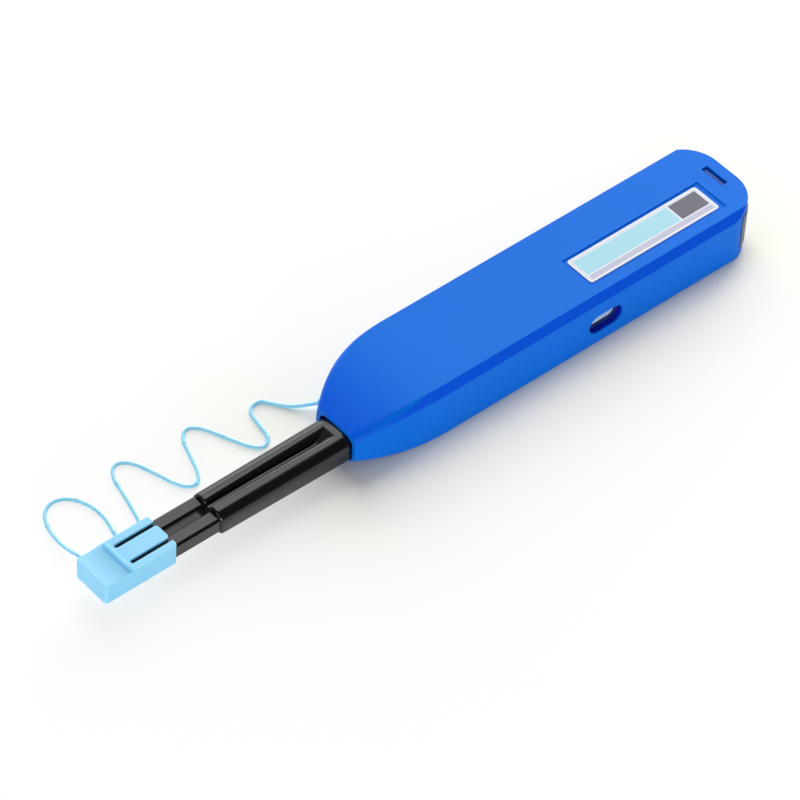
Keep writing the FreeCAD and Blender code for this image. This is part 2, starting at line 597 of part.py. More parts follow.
def lobe(x, side, inset=0.0):
    """Section of one lobe of the sleeve at x."""
    t = (x - RAMP_X[0]) / (SLEEVE_TIP_X - RAMP_X[0])

    def between(pair):
        return pair[0] + (pair[1] - pair[0]) * t

    outer = between((SLEEVE_BASE[0], SLEEVE_TIP[0])) - inset
    half_z = between((SLEEVE_BASE[1], SLEEVE_TIP[1])) - inset
    inner = between(LOBE_INNER) + inset * 0.3
    outer_r, inner_r = LOBE_R - inset * 0.5, between(LOBE_INNER_R) - inset * 0.5
    z = (AXIS_Z - half_z, AXIS_Z + half_z)
    low = (SLEEVE_LOW_R, SLEEVE_LOW_R)
    if side > 0:
        return section(x, (AXIS_Y + inner, AXIS_Y + outer), z, (outer_r, outer_r), low, 1.0, (inner_r, inner_r))
    return section(x, (AXIS_Y - outer, AXIS_Y - inner), z, (inner_r, inner_r), low, 1.0, (outer_r, outer_r))


def nozzle_sleeve():
    """Two-lobed sleeve with a valley, its tapered rib, the ramp at the base and a stop flange."""
    tip = SLEEVE_TIP_X
    shoulder = tip - TIP_ROUND
    shape = prism(rounded(FLANGE_FRONT_X, SLEEVE_BASE, LOBE_R, SLEEVE_LOW_R), RAMP_X[0] - FLANGE_FRONT_X)
    shape = shape.fuse(prism(rounded(FLANGE_REAR_X, FLANGE, 2.0, 2.0), FLANGE_T))
    for side in (-1, 1):
        shape = shape.fuse(loft([lobe(RAMP_X[0], side), lobe(shoulder, side)], True))
        rim = [lobe(shoulder, side), lobe(tip - 0.3 * TIP_ROUND, side, 0.12), lobe(tip, side, 0.4)]
        shape = shape.fuse(loft(rim, True))
    floor = AXIS_Z + SLEEVE_TIP[1] - VALLEY_DEPTH
    low = AXIS_Z - SLEEVE_TIP[1] + 0.5
    web_y = (AXIS_Y - VALLEY_HALF, AXIS_Y + VALLEY_HALF)
    shape = shape.fuse(box((RAMP_X[0] - SINK, tip - 0.4), web_y, (low, floor)))
    rib = [(RAMP_X[1] - 1.0, AXIS_Y), (tip - 0.6, AXIS_Y - LOBE_INNER[1]), (tip - 0.6, AXIS_Y + LOBE_INNER[1] + SINK),
           (RAMP_X[1] - 1.0, AXIS_Y + LOBE_INNER[1] + SINK)]
    shape = shape.fuse(plate(rib, floor - SINK, RIB_H + SINK))
    crest = AXIS_Z + SLEEVE_BASE[1]
    base = RAMP_X[0] - SINK
    profile = [(base, floor - 0.5), (RAMP_X[1], floor - 0.5), (RAMP_X[1], floor), (RAMP_X[0], crest), (base, crest)]
    ring = [V(px, AXIS_Y - LOBE_R - 0.3, pz) for px, pz in profile]
    shape = shape.fuse(Part.Face(Part.makePolygon(ring + [ring[0]])).extrude(V(0, 2 * (LOBE_R + 0.3), 0)))
    for y in guide_ys():
        shape = shape.cut(channel(y, FLANGE_REAR_X - PAST, tip + PAST, GUIDE_GAP))
    return shape.removeSplitter()


def tip_guides():
    """The two connector-sized noses that carry the tape to the cleaning tips."""
    guides = []
    for y in guide_ys():
        bar = channel(y, GUIDE_REAR_X, GUIDE_FRONT_X, 0.0)
        long_top = [e for e in bar.Edges if e.BoundBox.XLength > 50 and e.BoundBox.ZMin > AXIS_Z]
        bar = bar.makeChamfer(GUIDE_CHAMFER, long_top)
        bar = bar.cut(tape_way(y, GUIDE_REAR_X - PAST, TIP_BORE_X + 0.5))
        guides.append(bar.cut(along_x(TIP_BORE_X, y, AXIS_Z, TIP_BORE_R, GUIDE_FRONT_X - TIP_BORE_X + PAST)))
    return guides


def cleaning_tips():
    """The two white tips that press the tape on the connector's end face, with the tape's groove."""
    tips = []
    for y in guide_ys():
        body = along_x(TIP_BODY_X[0], y, AXIS_Z, TIP_BORE_R - 0.1, TIP_BODY_X[1] - TIP_BODY_X[0])
        head = along_x(TIP_BODY_X[1] - SINK, y, AXIS_Z, TIP_HEAD_R, TIP_HEAD_X - TIP_BODY_X[1] + SINK)
        groove = box((TIP_BODY_X[0] - PAST, TIP_HEAD_X + PAST), (y - TAPE_W / 2 + 0.05, y + TAPE_W / 2 - 0.05),
                     (AXIS_Z + TIP_HEAD_R - 0.1, AXIS_Z + TIP_BORE_R + PAST))
        tips.append(body.fuse(head).cut(groove).removeSplitter())
    return tips


def coil(x0, x1, y, z, radius, wire, turns):
    """Compression spring along X: a six-sided wire lofted through short straight steps."""
    steps = turns * COIL_STEPS
    length = x1 - x0 - wire
    rings = []
    for i in range(steps + 1):
        turn = 2 * math.pi * i / COIL_STEPS
        out = V(0, math.cos(turn), math.sin(turn))
        centre = V(x0 + wire / 2 + length * i / steps, y, z) + out * radius
        ring = []
        for k in range(WIRE_SIDES):
            a = 2 * math.pi * k / WIRE_SIDES
            ring.append(centre + out * (wire / 2 * math.cos(a)) + V(wire / 2 * math.sin(a), 0, 0))
        rings.append(Part.makePolygon(ring + [ring[0]]))
    return loft(rings, True)


def tip_springs():
    """Small springs that press the tips forward."""
    return [coil(TIP_BORE_X + 0.1, TIP_BODY_X[0] - 0.1, y, AXIS_Z, TIP_SPRING_R, TIP_SPRING_WIRE, TIP_SPRING_TURNS)
            for y in guide_ys()]


def tape_strands():
    """Tape inside each guide: one strand out to the tip, one back."""
    strands = []
    for y in guide_ys():
        for z in (AXIS_Z - 0.55, AXIS_Z + 0.55):
            strands.append(box((CARRIAGE_X + POCKET_DEPTH + 1.0, TIP_BORE_X), (y - TAPE_W / 2, y + TAPE_W / 2),
                               (z - TAPE_T / 2, z + TAPE_T / 2)))
    return strands


# ================================================================ cap
def tip_cap():
    """Block with two blind pockets, a slot over each, a thumb ridge and the tether's root."""
    y = (AXIS_Y - CAP_W / 2, AXIS_Y + CAP_W / 2)
    z = (AXIS_Z - CAP_H / 2, AXIS_Z + CAP_H / 2)
    cap = box(CAP_X, y, z)
    upright = [e for e in cap.Edges if e.BoundBox.ZLength > 5 and e.BoundBox.XMin > CAP_X[1] - 1]
    cap = cap.makeFillet(CAP_R, upright)
    cap = cap.makeFillet(CAP_REAR_R, [e for e in cap.Edges if e.BoundBox.ZLength > 5 and
                                      e.BoundBox.XMax < CAP_X[0] + 0.01 and e.BoundBox.YMin > y[1] - 0.01])
    top_x = (RIDGE_X + CAP_X[1]) / 2 + 0.3
    dish = Part.makeCylinder(DISH_R, CAP_W + 2, V(top_x, y[0] - 1, z[1] + DISH_R - DISH_DEPTH), V(0, 1, 0))
    cap = cap.cut(dish)
    for gy in guide_ys():
        cap = cap.cut(channel(gy, CAP_X[0] - 1, CAP_BLIND_X, CAP_GAP))
        slot = box((CAP_X[0] - 1, CAP_SLOT_X + CAP_SLOT_W / 2), (gy - CAP_SLOT_W / 2, gy + CAP_SLOT_W / 2),
                   (AXIS_Z, z[1] + 1))
        cap = cap.cut(slot).cut(disc(CAP_SLOT_X + CAP_SLOT_W / 2, gy, AXIS_Z, CAP_SLOT_W / 2, z[1] + 1 - AXIS_Z))
    tongue = PITCH / 2 - CAP_SLOT_W / 2
    rear = [e for e in cap.Edges if e.BoundBox.XMax < CAP_X[0] + 0.01 and e.BoundBox.ZMax > z[1] - DISH_DEPTH
            and e.BoundBox.ZLength > 0.5]
    cap = cap.makeFillet(TONGUE_R, [e for e in rear if abs(abs(e.BoundBox.YMin - AXIS_Y) - tongue) < 0.01])
    ridge = box((RIDGE_X - RIDGE_T / 2, RIDGE_X + RIDGE_T / 2), (AXIS_Y - RIDGE_HALF_Y, AXIS_Y + RIDGE_HALF_Y),
                (z[1] - 0.4, z[1] + RIDGE_H))
    ridge = ridge.makeFillet(0.35, [e for e in ridge.Edges if e.BoundBox.ZMin > z[1] + RIDGE_H - 0.01])
    root = Part.makeCone(TETHER_BOSS_R, TETHER_D / 2 + 0.15, TETHER_BOSS_L + 0.2,
                         V(TETHER_BOSS[0], y[0] + 0.2, TETHER_BOSS[1]), V(0, -1, 0))
    return cap.fuse(ridge).fuse(root).removeSplitter()


# ================================================================ tether
TETHER_Z = TETHER_D / 2
CAP_SIDE_Y = AXIS_Y - CAP_W / 2 - TETHER_BOSS_L
TETHER_ROUTE = [
    TETHER_EXIT,
    TETHER_FIRST, (29.2, -19.4, TETHER_Z), (31.6, -22.9, TETHER_Z), (35.6, -21.9, TETHER_Z),
    (36.7, -16.9, TETHER_Z), (37.4, -11.4, TETHER_Z), (40.5, -9.3, TETHER_Z), (43.3, -11.8, TETHER_Z),
    (45.9, -18.0, TETHER_Z), (48.9, -24.9, TETHER_Z), (52.1, -26.8, TETHER_Z), (54.9, -24.2, TETHER_Z),
    (56.9, -18.1, TETHER_Z), (59.2, -12.0, TETHER_Z), (62.0, -9.9, TETHER_Z), (65.1, -12.2, TETHER_Z),
    (67.1, -19.3, TETHER_Z), (69.5, -26.2, TETHER_Z), (73.1, -28.4, TETHER_Z), (76.2, -25.4, TETHER_Z),
    (77.8, -18.0, TETHER_Z), (80.1, -9.6, TETHER_Z), (81.7, -5.4, TETHER_Z), (85.0, -3.6, TETHER_Z),
    (87.9, -5.9, TETHER_Z), (87.4, -10.1, TETHER_Z), (85.8, -15.9, TETHER_Z), (86.4, -21.9, TETHER_Z),
    (89.0, -26.3, TETHER_Z), (92.9, -28.0, TETHER_Z), (97.0, -26.0, TETHER_Z), (99.2, -20.8, TETHER_Z),
    (100.4, -14.4, 1.6), (101.4, -8.0, 4.9), (TETHER_BOSS[0], CAP_SIDE_Y - 3.4, TETHER_BOSS[1]),
    (TETHER_BOSS[0], CAP_SIDE_Y, TETHER_BOSS[1]),
]


def tether():
    """Tube on straight runs joined by tangent arcs, as large as the runs allow.

    A ring is carried along the route: pulled along each run and turned about each bend's centre.
    """
    pts = [V(*p) for p in TETHER_ROUTE]
    ring = Part.Wire(Part.makeCircle(TETHER_D / 2, pts[0], pts[1] - pts[0]))
    skin = [Part.Face(ring)]
    cursor = pts[0]
    length = 0.0
    radii = []
    for i in range(1, len(pts) - 1):
        back, ahead = pts[i - 1] - pts[i], pts[i + 1] - pts[i]
        reach = BEND_SHARE * min(back.Length, ahead.Length)
        turn = math.pi - back.getAngle(ahead)
        radius = reach / math.tan(turn / 2)
        axis = ahead.cross(back)
        back.normalize()
        ahead.normalize()
        bisector = back + ahead
        bisector.normalize()
        centre = pts[i] + bisector * (radius / math.cos(turn / 2))
        run = pts[i] + back * reach - cursor
        skin += ring.extrude(run).Faces
        ring.translate(run)
        skin += ring.revolve(centre, axis, math.degrees(turn)).Faces
        ring.rotate(centre, axis, math.degrees(turn))
        cursor = pts[i] + ahead * reach
        length += run.Length + radius * turn
        radii.append(radius)
    run = pts[-1] - cursor
    skin += ring.extrude(run).Faces
    ring.translate(run)
    skin.append(Part.Face(ring))
    shell = Part.makeShell(skin)
    shell.sewShape()
    tube = Part.makeSolid(shell)
    if tube.Volume < 0:
        tube.reverse()
    ideal = math.pi * TETHER_D ** 2 / 4 * (length + run.Length)
    print("tether length %.1f mm, volume %.2f of %.2f mm3" % (length + run.Length, tube.Volume, ideal))
    print("tether radii", " ".join("%.1f" % r for r in radii))
    return tube


def build():
    export("outer_case", outer_case())
    export("label", label())
    export("rear_insert", rear_insert())
    export("chassis_tray", chassis_tray())
    export("chassis_cover", chassis_cover())
    export("cover_screws", cover_screws())
    export("pawl", leaf(PAWL_AT, PAWL_Z, TAKEUP_X, PAWL_GAP))
    export("brake_leaf", leaf(BRAKE_AT, BRAKE_Z, SUPPLY_X, BRAKE_GAP))
    export("supply_spool", spool(SUPPLY_X, 0))
    export("supply_tape", tape_pack(SUPPLY_X, FRESH_TAPE_R))
    export("takeup_spool", spool(TAKEUP_X, RATCHET_TEETH))
    export("takeup_tape", tape_pack(TAKEUP_X, USED_TAPE_R))
    export("takeup_gear", takeup_gear())
    export("return_spring", coil(BULKHEAD_X + 0.05, CARRIAGE_X + POCKET_DEPTH - 0.05, AXIS_Y, AXIS_Z,
                                 SPRING_R, SPRING_WIRE, SPRING_TURNS))
    export("carriage", carriage())
    export("drive_rack", drive_rack())
    export("nozzle_sleeve", nozzle_sleeve())
    export("tip_guides", tip_guides())
    export("cleaning_tips", cleaning_tips())
    export("tip_springs", tip_springs())
    export("tape_strands", tape_strands())
    export("tip_cap", tip_cap())
    export("tether_plug", tether_plug())
    export("tether", tether())


build()
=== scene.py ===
"""Duplex fibre connector cleaning pen: finishes, label, tether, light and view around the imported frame.

Metres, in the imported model's frame: X toward the cleaning tips, Y toward the side with the window, Z up.
"""
from __future__ import annotations

import json
import logging
import math
from dataclasses import dataclass, field
from enum import Enum
from typing import Any, Iterable, Sequence

import bmesh
import bpy
from mathutils import Matrix, Vector

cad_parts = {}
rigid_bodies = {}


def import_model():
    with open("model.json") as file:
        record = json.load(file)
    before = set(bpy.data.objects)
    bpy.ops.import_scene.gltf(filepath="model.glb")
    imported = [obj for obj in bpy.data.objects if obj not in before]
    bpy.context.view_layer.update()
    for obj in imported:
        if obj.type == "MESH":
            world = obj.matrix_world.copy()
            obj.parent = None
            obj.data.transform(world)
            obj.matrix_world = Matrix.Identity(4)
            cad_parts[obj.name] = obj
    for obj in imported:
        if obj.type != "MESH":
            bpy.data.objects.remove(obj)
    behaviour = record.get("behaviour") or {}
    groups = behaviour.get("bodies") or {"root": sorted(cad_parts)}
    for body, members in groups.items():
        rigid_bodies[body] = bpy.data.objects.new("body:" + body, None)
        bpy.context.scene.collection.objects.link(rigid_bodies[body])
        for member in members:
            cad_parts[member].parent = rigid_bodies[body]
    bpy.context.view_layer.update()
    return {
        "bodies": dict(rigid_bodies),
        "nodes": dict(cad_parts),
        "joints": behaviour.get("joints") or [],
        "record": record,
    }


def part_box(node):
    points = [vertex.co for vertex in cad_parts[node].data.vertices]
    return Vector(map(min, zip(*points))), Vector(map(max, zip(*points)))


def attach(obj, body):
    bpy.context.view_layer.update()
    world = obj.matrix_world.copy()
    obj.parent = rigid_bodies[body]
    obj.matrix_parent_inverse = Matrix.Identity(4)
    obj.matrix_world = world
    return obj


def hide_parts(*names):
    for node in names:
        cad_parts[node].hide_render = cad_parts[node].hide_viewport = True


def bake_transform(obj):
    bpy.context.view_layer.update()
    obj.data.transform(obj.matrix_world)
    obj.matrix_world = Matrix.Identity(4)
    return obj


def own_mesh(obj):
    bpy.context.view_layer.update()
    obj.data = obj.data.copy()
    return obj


LOG = logging.getLogger("cleaning_pen")
MM = 0.001
Colour = tuple[float, float, float]


class Body(Enum):
    """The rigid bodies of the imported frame."""

    HOUSING = "housing"
    NOZZLE = "nozzle"
    TAKEUP = "takeup"
    SUPPLY = "supply"
    CAP = "cap"


# ================================================================ node trees
class Tree:
    """A node tree with short calls to add, set and link nodes."""

    def __init__(self, tree: bpy.types.NodeTree) -> None:
        """Take over a tree and clear it."""
        self.tree = tree
        self.tree.nodes.clear()

    def add(self, kind: str, inputs: dict[Any, Any] | None = None, **settings: Any) -> bpy.types.Node:
        """Add one node.

        Args:
            kind: The node's type name.
            inputs: Socket name or index to a value, or to an output socket to link from.
            settings: The node's own properties.

        Returns:
            The new node.
        """
        node = self.tree.nodes.new(kind)
        for key, value in settings.items():
            setattr(node, key, value)
        for key, value in (inputs or {}).items():
            if isinstance(value, bpy.types.NodeSocket):
                self.tree.links.new(value, node.inputs[key])
            else:
                node.inputs[key].default_value = value
        return node

    def maths(self, operation: str, first: Any, second: Any = 0.0, clamp: bool = False) -> bpy.types.NodeSocket:
        """Add a Math node and return its output."""
        return self.add("ShaderNodeMath", {0: first, 1: second}, operation=operation, use_clamp=clamp).outputs[0]

    def ranged(self, value: Any, low: float, high: float, to_low: float, to_high: float) -> bpy.types.NodeSocket:
        """Add a Map Range node and return its output."""
        inputs = {0: value, 1: low, 2: high, 3: to_low, 4: to_high}
        return self.add("ShaderNodeMapRange", inputs).outputs[0]

    def mixed(self, factor: Any, first: Any, second: Any) -> bpy.types.NodeSocket:
        """Add a colour Mix node and return its output."""
        return self.add("ShaderNodeMix", {0: factor, 6: first, 7: second}, data_type="RGBA").outputs[2]

    def effect(self, group: bpy.types.NodeTree, place: Any, values: dict[str, float] | None = None) -> Any:
        """Place a shared shader group at some coordinates and return its output."""
        return self.add("ShaderNodeGroup", {"Vector": place, **(values or {})}, node_tree=group).outputs[0]

    def surface(self, inputs: dict[str, Any]) -> None:
        """Close a material with a Principled BSDF."""
        shader = self.add("ShaderNodeBsdfPrincipled", inputs)
        self.add("ShaderNodeOutputMaterial", {"Surface": shader.outputs[0]})


def rgba(colour: Colour) -> tuple[float, float, float, float]:
    """A linear colour with full alpha."""
    return (*colour, 1.0)


def written(red: int, green: int, blue: int) -> Colour:
    """A colour written as 0 to 255 screen values, made linear."""
    return tuple(c / 12.92 if c <= 0.04045 else ((c + 0.055) / 1.055) ** 2.4
                 for c in (red / 255, green / 255, blue / 255))


def node_group(kind: str, name: str, inputs: dict[str, tuple[str, Any]],
               outputs: dict[str, str]) -> tuple[Tree, Any, Any]:
    """Start a node group with named inputs and outputs.

    Args:
        kind: Type of the tree.
        name: The group's name.
        inputs: Input name to (socket type, default).
        outputs: Output name to socket type.

    Returns:
        The tree, its input node and its output node.
    """
    tree = bpy.data.node_groups.new(name, kind)
    for key, (socket_type, default) in inputs.items():
        socket = tree.interface.new_socket(name=key, in_out="INPUT", socket_type=socket_type)
        if default is not None:
            socket.default_value = default
    for key, socket_type in outputs.items():
        tree.interface.new_socket(name=key, in_out="OUTPUT", socket_type=socket_type)
    plan = Tree(tree)
    return plan, plan.add("NodeGroupInput"), plan.add("NodeGroupOutput")


def shader_group(name: str, inputs: dict[str, tuple[str, Any]], output: str) -> tuple[Tree, Any, Any]:
    """Start a shader group with one float output."""
    return node_group("ShaderNodeTree", name, inputs, {output: "NodeSocketFloat"})


def new_material(name: str) -> tuple[bpy.types.Material, Tree, bpy.types.NodeSocket]:
    """Start a material.

    Args:
        name: The material's name.

    Returns:
        The material, its cleared tree and its Object coordinates.
    """
    made = bpy.data.materials.new(name)
    made.use_nodes = True
    plan = Tree(made.node_tree)
    return made, plan, plan.add("ShaderNodeTexCoord").outputs["Object"]


class SharedEffects:
    """Shader groups that more than one finish uses, each built once."""

    def __init__(self) -> None:
        """Build the groups."""
        self.skin = self._moulded_skin()
        self.handling = self._handling()
        self.panel = self._rounded_panel()

    def _moulded_skin(self) -> bpy.types.NodeTree:
        """Fine spark-eroded skin of a moulding, over a slow waviness of its flat faces.

        Returns:
            The shader group.
        """
        plan, given, out = shader_group(
            "moulded_skin",
            {"Vector": ("NodeSocketVector", None), "Grain Size": ("NodeSocketFloat", 0.00025),
             "Waviness": ("NodeSocketFloat", 0.2)},
            "Height")
        scale = plan.maths("DIVIDE", 1.0, given.outputs["Grain Size"])
        fine = plan.add("ShaderNodeTexNoise", {"Vector": given.outputs["Vector"], "Scale": scale,
                                               "Detail": 3.0, "Roughness": 0.6})
        slow = plan.add("ShaderNodeTexNoise", {"Vector": given.outputs["Vector"], "Scale": 55.0, "Detail": 1.0})
        wave = plan.maths("MULTIPLY", slow.outputs[0], given.outputs["Waviness"])
        plan.tree.links.new(plan.maths("ADD", fine.outputs[0], wave), out.inputs["Height"])
        return plan.tree

    def _handling(self) -> bpy.types.NodeTree:
        """Faint rub marks and smudges of use, as a mask from 0 to 1.

        Returns:
            The shader group.
        """
        plan, given, out = shader_group(
            "handling",
            {"Vector": ("NodeSocketVector", None), "Amount": ("NodeSocketFloat", 1.0)},
            "Mask")
        stretched = plan.add("ShaderNodeMapping", {"Vector": given.outputs["Vector"], "Scale": (0.12, 1.0, 1.0)})
        rubs = plan.add("ShaderNodeTexNoise", {"Vector": stretched.outputs[0], "Scale": 420.0, "Detail": 4.0})
        smudge = plan.add("ShaderNodeTexNoise", {"Vector": given.outputs["Vector"], "Scale": 38.0, "Detail": 2.0})
        rub_mask = plan.ranged(rubs.outputs[0], 0.55, 0.8, 0.0, 0.5)
        smudge_mask = plan.ranged(smudge.outputs[0], 0.45, 0.75, 0.0, 0.5)
        both = plan.maths("ADD", rub_mask, smudge_mask)
        plan.tree.links.new(plan.maths("MULTIPLY", both, given.outputs["Amount"], clamp=True), out.inputs["Mask"])
        return plan.tree

    def _rounded_panel(self) -> bpy.types.NodeTree:
        """A printed panel with rounded corners, seen from above, as a mask with a soft edge.

        Returns:
            The shader group.
        """
        names = ("Centre X", "Centre Y", "Half X", "Half Y", "Corner")
        inputs: dict[str, tuple[str, Any]] = {"Vector": ("NodeSocketVector", None)}
        inputs.update({name: ("NodeSocketFloat", 0.0) for name in names})
        plan, given, out = shader_group("rounded_panel", inputs, "Mask")
        split = plan.add("ShaderNodeSeparateXYZ", {0: given.outputs["Vector"]})
        corner = given.outputs["Corner"]
        over = []
        for index, centre, half in ((0, "Centre X", "Half X"), (1, "Centre Y", "Half Y")):
            away = plan.maths("ABSOLUTE", plan.maths("SUBTRACT", split.outputs[index], given.outputs[centre]))
            inner = plan.maths("SUBTRACT", given.outputs[half], corner)
            over.append(plan.maths("SUBTRACT", away, inner))
        outside = [plan.maths("POWER", plan.maths("MAXIMUM", side, 0.0), 2.0) for side in over]
        reach = plan.maths("SQRT", plan.maths("ADD", *outside))
        inside = plan.maths("MINIMUM", plan.maths("MAXIMUM", *over), 0.0)
        distance = plan.maths("SUBTRACT", plan.maths("ADD", reach, inside), corner)
        mask = plan.ranged(distance, -0.00003, 0.00003, 1.0, 0.0)
        plan.tree.links.new(mask, out.inputs["Mask"])
        return plan.tree


# ================================================================ finishes
@dataclass(frozen=True)
class Moulding:
    """A moulded plastic: its colour, gloss and skin."""

    name: str
    colour: Colour
    roughness: float = 0.42
    grain_size: float = 0.00025
    grain_depth: float = 0.05
    mottle: float = 0.04
    rubs: float = 0.4
    scatter: float = 0.0
    specular: float = 0.5
    # Colour of painted shade, mixed in where a mask stored on the mesh asks for it.
    painted_shade: Colour | None = None
    drift_scale: float = 24.0
    rub_roughness: float = 0.14
    skin_height: float = 0.00012

    def material(self, effects: SharedEffects) -> bpy.types.Material:
        """Build the material.

        Args:
            effects: The shared shader groups.

        Returns:
            The finished material.
        """
        made, plan, place = new_material(self.name)
        skin = plan.effect(effects.skin, place, {"Grain Size": self.grain_size})
        handling = plan.effect(effects.handling, place, {"Amount": self.rubs})
        drift = plan.add("ShaderNodeTexNoise", {"Vector": place, "Scale": self.drift_scale, "Detail": 3.0})
        shade = plan.ranged(drift.outputs[0], 0.3, 0.7, 0.0, 1.0)
        light = tuple(min(1.0, c * (1 + self.mottle)) for c in self.colour)
        dark = tuple(c * (1 - self.mottle) for c in self.colour)
        colour = plan.mixed(shade, rgba(dark), rgba(light))
        # Painted shade: a mask stored on the mesh mixes in a deeper colour.
        if self.painted_shade:
            mark = plan.add("ShaderNodeAttribute", attribute_name="painted_shade").outputs["Fac"]
            colour = plan.mixed(mark, colour, rgba(self.painted_shade))
        rough = plan.ranged(handling, 0.0, 1.0, self.roughness, min(0.95, self.roughness + self.rub_roughness))
        bump = plan.add("ShaderNodeBump", {"Height": skin, "Strength": self.grain_depth, "Distance": self.skin_height})
        plan.surface({
            "Base Color": colour, "Roughness": rough, "Normal": bump.outputs[0],
            "IOR": 1.5, "Specular IOR Level": self.specular,
            "Subsurface Weight": self.scatter, "Subsurface Scale": 0.0012, "Subsurface Radius": (0.6, 0.8, 1.0)})
        return made


@dataclass(frozen=True)
class DrawnSteel:
    """Plain or spring steel, with the fine lines of drawing or rolling."""

    name: str
    colour: Colour
    roughness: float = 0.28
    line_scale: float = 2600.0

    def material(self, effects: SharedEffects) -> bpy.types.Material:
        """Build the material.

        Args:
            effects: The shared shader groups.

        Returns:
            The finished material.
        """
        made, plan, place = new_material(self.name)
        along = plan.add("ShaderNodeMapping", {"Vector": place, "Scale": (1.0, 1.0, 0.06)})
        lines = plan.add("ShaderNodeTexNoise", {"Vector": along.outputs[0], "Scale": self.line_scale, "Detail": 2.0})
        rough = plan.ranged(plan.effect(effects.handling, place), 0.0, 1.0, self.roughness, self.roughness + 0.2)
        bump = plan.add("ShaderNodeBump", {"Height": lines.outputs[0], "Strength": 0.12, "Distance": 0.00005})
        plan.surface({"Base Color": rgba(self.colour), "Metallic": 1.0, "Roughness": rough,
                      "Normal": bump.outputs[0]})
        return made


@dataclass(frozen=True)
class WovenTape:
    """White microfibre cleaning tape with its plain weave."""

    name: str = "cleaning_tape"
    colour: Colour = (0.86, 0.86, 0.85)
    threads_per_metre: float = 9000.0

    def material(self, effects: SharedEffects) -> bpy.types.Material:
        """Build the material.

        Args:
            effects: The shared shader groups.

        Returns:
            The finished material.
        """
        made, plan, place = new_material(self.name)
        skin = plan.effect(effects.skin, place, {"Grain Size": 0.0004})
        split = plan.add("ShaderNodeSeparateXYZ", {0: place})
        waves = [plan.maths("SINE", plan.maths("MULTIPLY", split.outputs[axis], self.threads_per_metre))
                 for axis in (0, 2)]
        weave = plan.maths("MULTIPLY", *waves)
        height = plan.maths("ADD", weave, skin)
        # The weave's low points are a shade darker: painted shade in the hollows between the threads.
        colour = plan.mixed(plan.ranged(weave, -1.0, 1.0, 0.0, 1.0), rgba(tuple(c * 0.86 for c in self.colour)),
                            rgba(self.colour))
        bump = plan.add("ShaderNodeBump", {"Height": height, "Strength": 0.5, "Distance": 0.00006})
        plan.surface({"Base Color": colour, "Roughness": 0.85, "Sheen Weight": 0.3, "Normal": bump.outputs[0]})
        return made


@dataclass(frozen=True)
class LabelPrint:
    """Print of the film label: a white border, a fine line, a pale field, a strip and a dark block."""

    low: Vector
    high: Vector
    name: str = "label_print"
    corner: float = 0.8 * MM
    line_in: float = 0.72 * MM
    line_width: float = 0.14 * MM
    field_in: float = 1.15 * MM
    strip_share: float = 0.24
    block_length: float = 9.4 * MM

    def panels(self) -> list[tuple[float, float, float, float, float, Colour]]:
        """Lay out the printed panels, from the lowest layer up.

        Returns:
            Each panel as centre, half size, corner and colour.
        """
        x0, y0, _ = self.low
        x1, y1, _ = self.high
        grey, white = written(160, 164, 182), written(222, 225, 234)
        pale, strip, block = written(152, 206, 222), written(178, 180, 200), written(66, 68, 86)

        def panel(left: float, right: float, bottom: float, top: float, corner: float, ink: Colour) -> tuple:
            """One panel from its edges."""
            return ((left + right) / 2, (bottom + top) / 2, (right - left) / 2, (top - bottom) / 2, corner, ink)

        line, inner, inset = self.line_in, self.line_in + self.line_width, self.field_in
        strip_top = y1 - self.strip_share * (y1 - y0)
        block_end = x0 + inset + self.block_length
        return [
            panel(x0 + line, x1 - line, y0 + line, y1 - line, self.corner * 0.7, grey),
            panel(x0 + inner, x1 - inner, y0 + inner, y1 - inner, self.corner * 0.6, white),
            panel(x0 + inset, x1 - inset, strip_top, y1 - inset * 0.7, 0.2 * MM, strip),
            panel(block_end + 0.5 * MM, x1 - inset, y0 + inset, strip_top - 0.35 * MM, 0.2 * MM, pale),
            panel(x0 + inset, block_end, y0 + inset, strip_top - 0.35 * MM, 0.2 * MM, block),
        ]

    def material(self, effects: SharedEffects) -> bpy.types.Material:
        """Build the material.

        Args:
            effects: The shared shader groups.

        Returns:
            The finished material.
        """
        made, plan, place = new_material(self.name)
        colour: Any = rgba(written(220, 223, 232))
        for centre_x, centre_y, half_x, half_y, corner, ink in self.panels():
            mask = plan.effect(effects.panel, place, {"Centre X": centre_x, "Centre Y": centre_y, "Half X": half_x,
                                                      "Half Y": half_y, "Corner": corner})
            colour = plan.mixed(mask, colour, rgba(ink))
        skin = plan.effect(effects.skin, place, {"Grain Size": 0.0006})
        bump = plan.add("ShaderNodeBump", {"Height": skin, "Strength": 0.03, "Distance": 0.00008})
        rough = plan.ranged(plan.effect(effects.handling, place), 0.0, 1.0, 0.34, 0.5)
        plan.surface({"Base Color": colour, "Roughness": rough, "Normal": bump.outputs[0]})
        return made


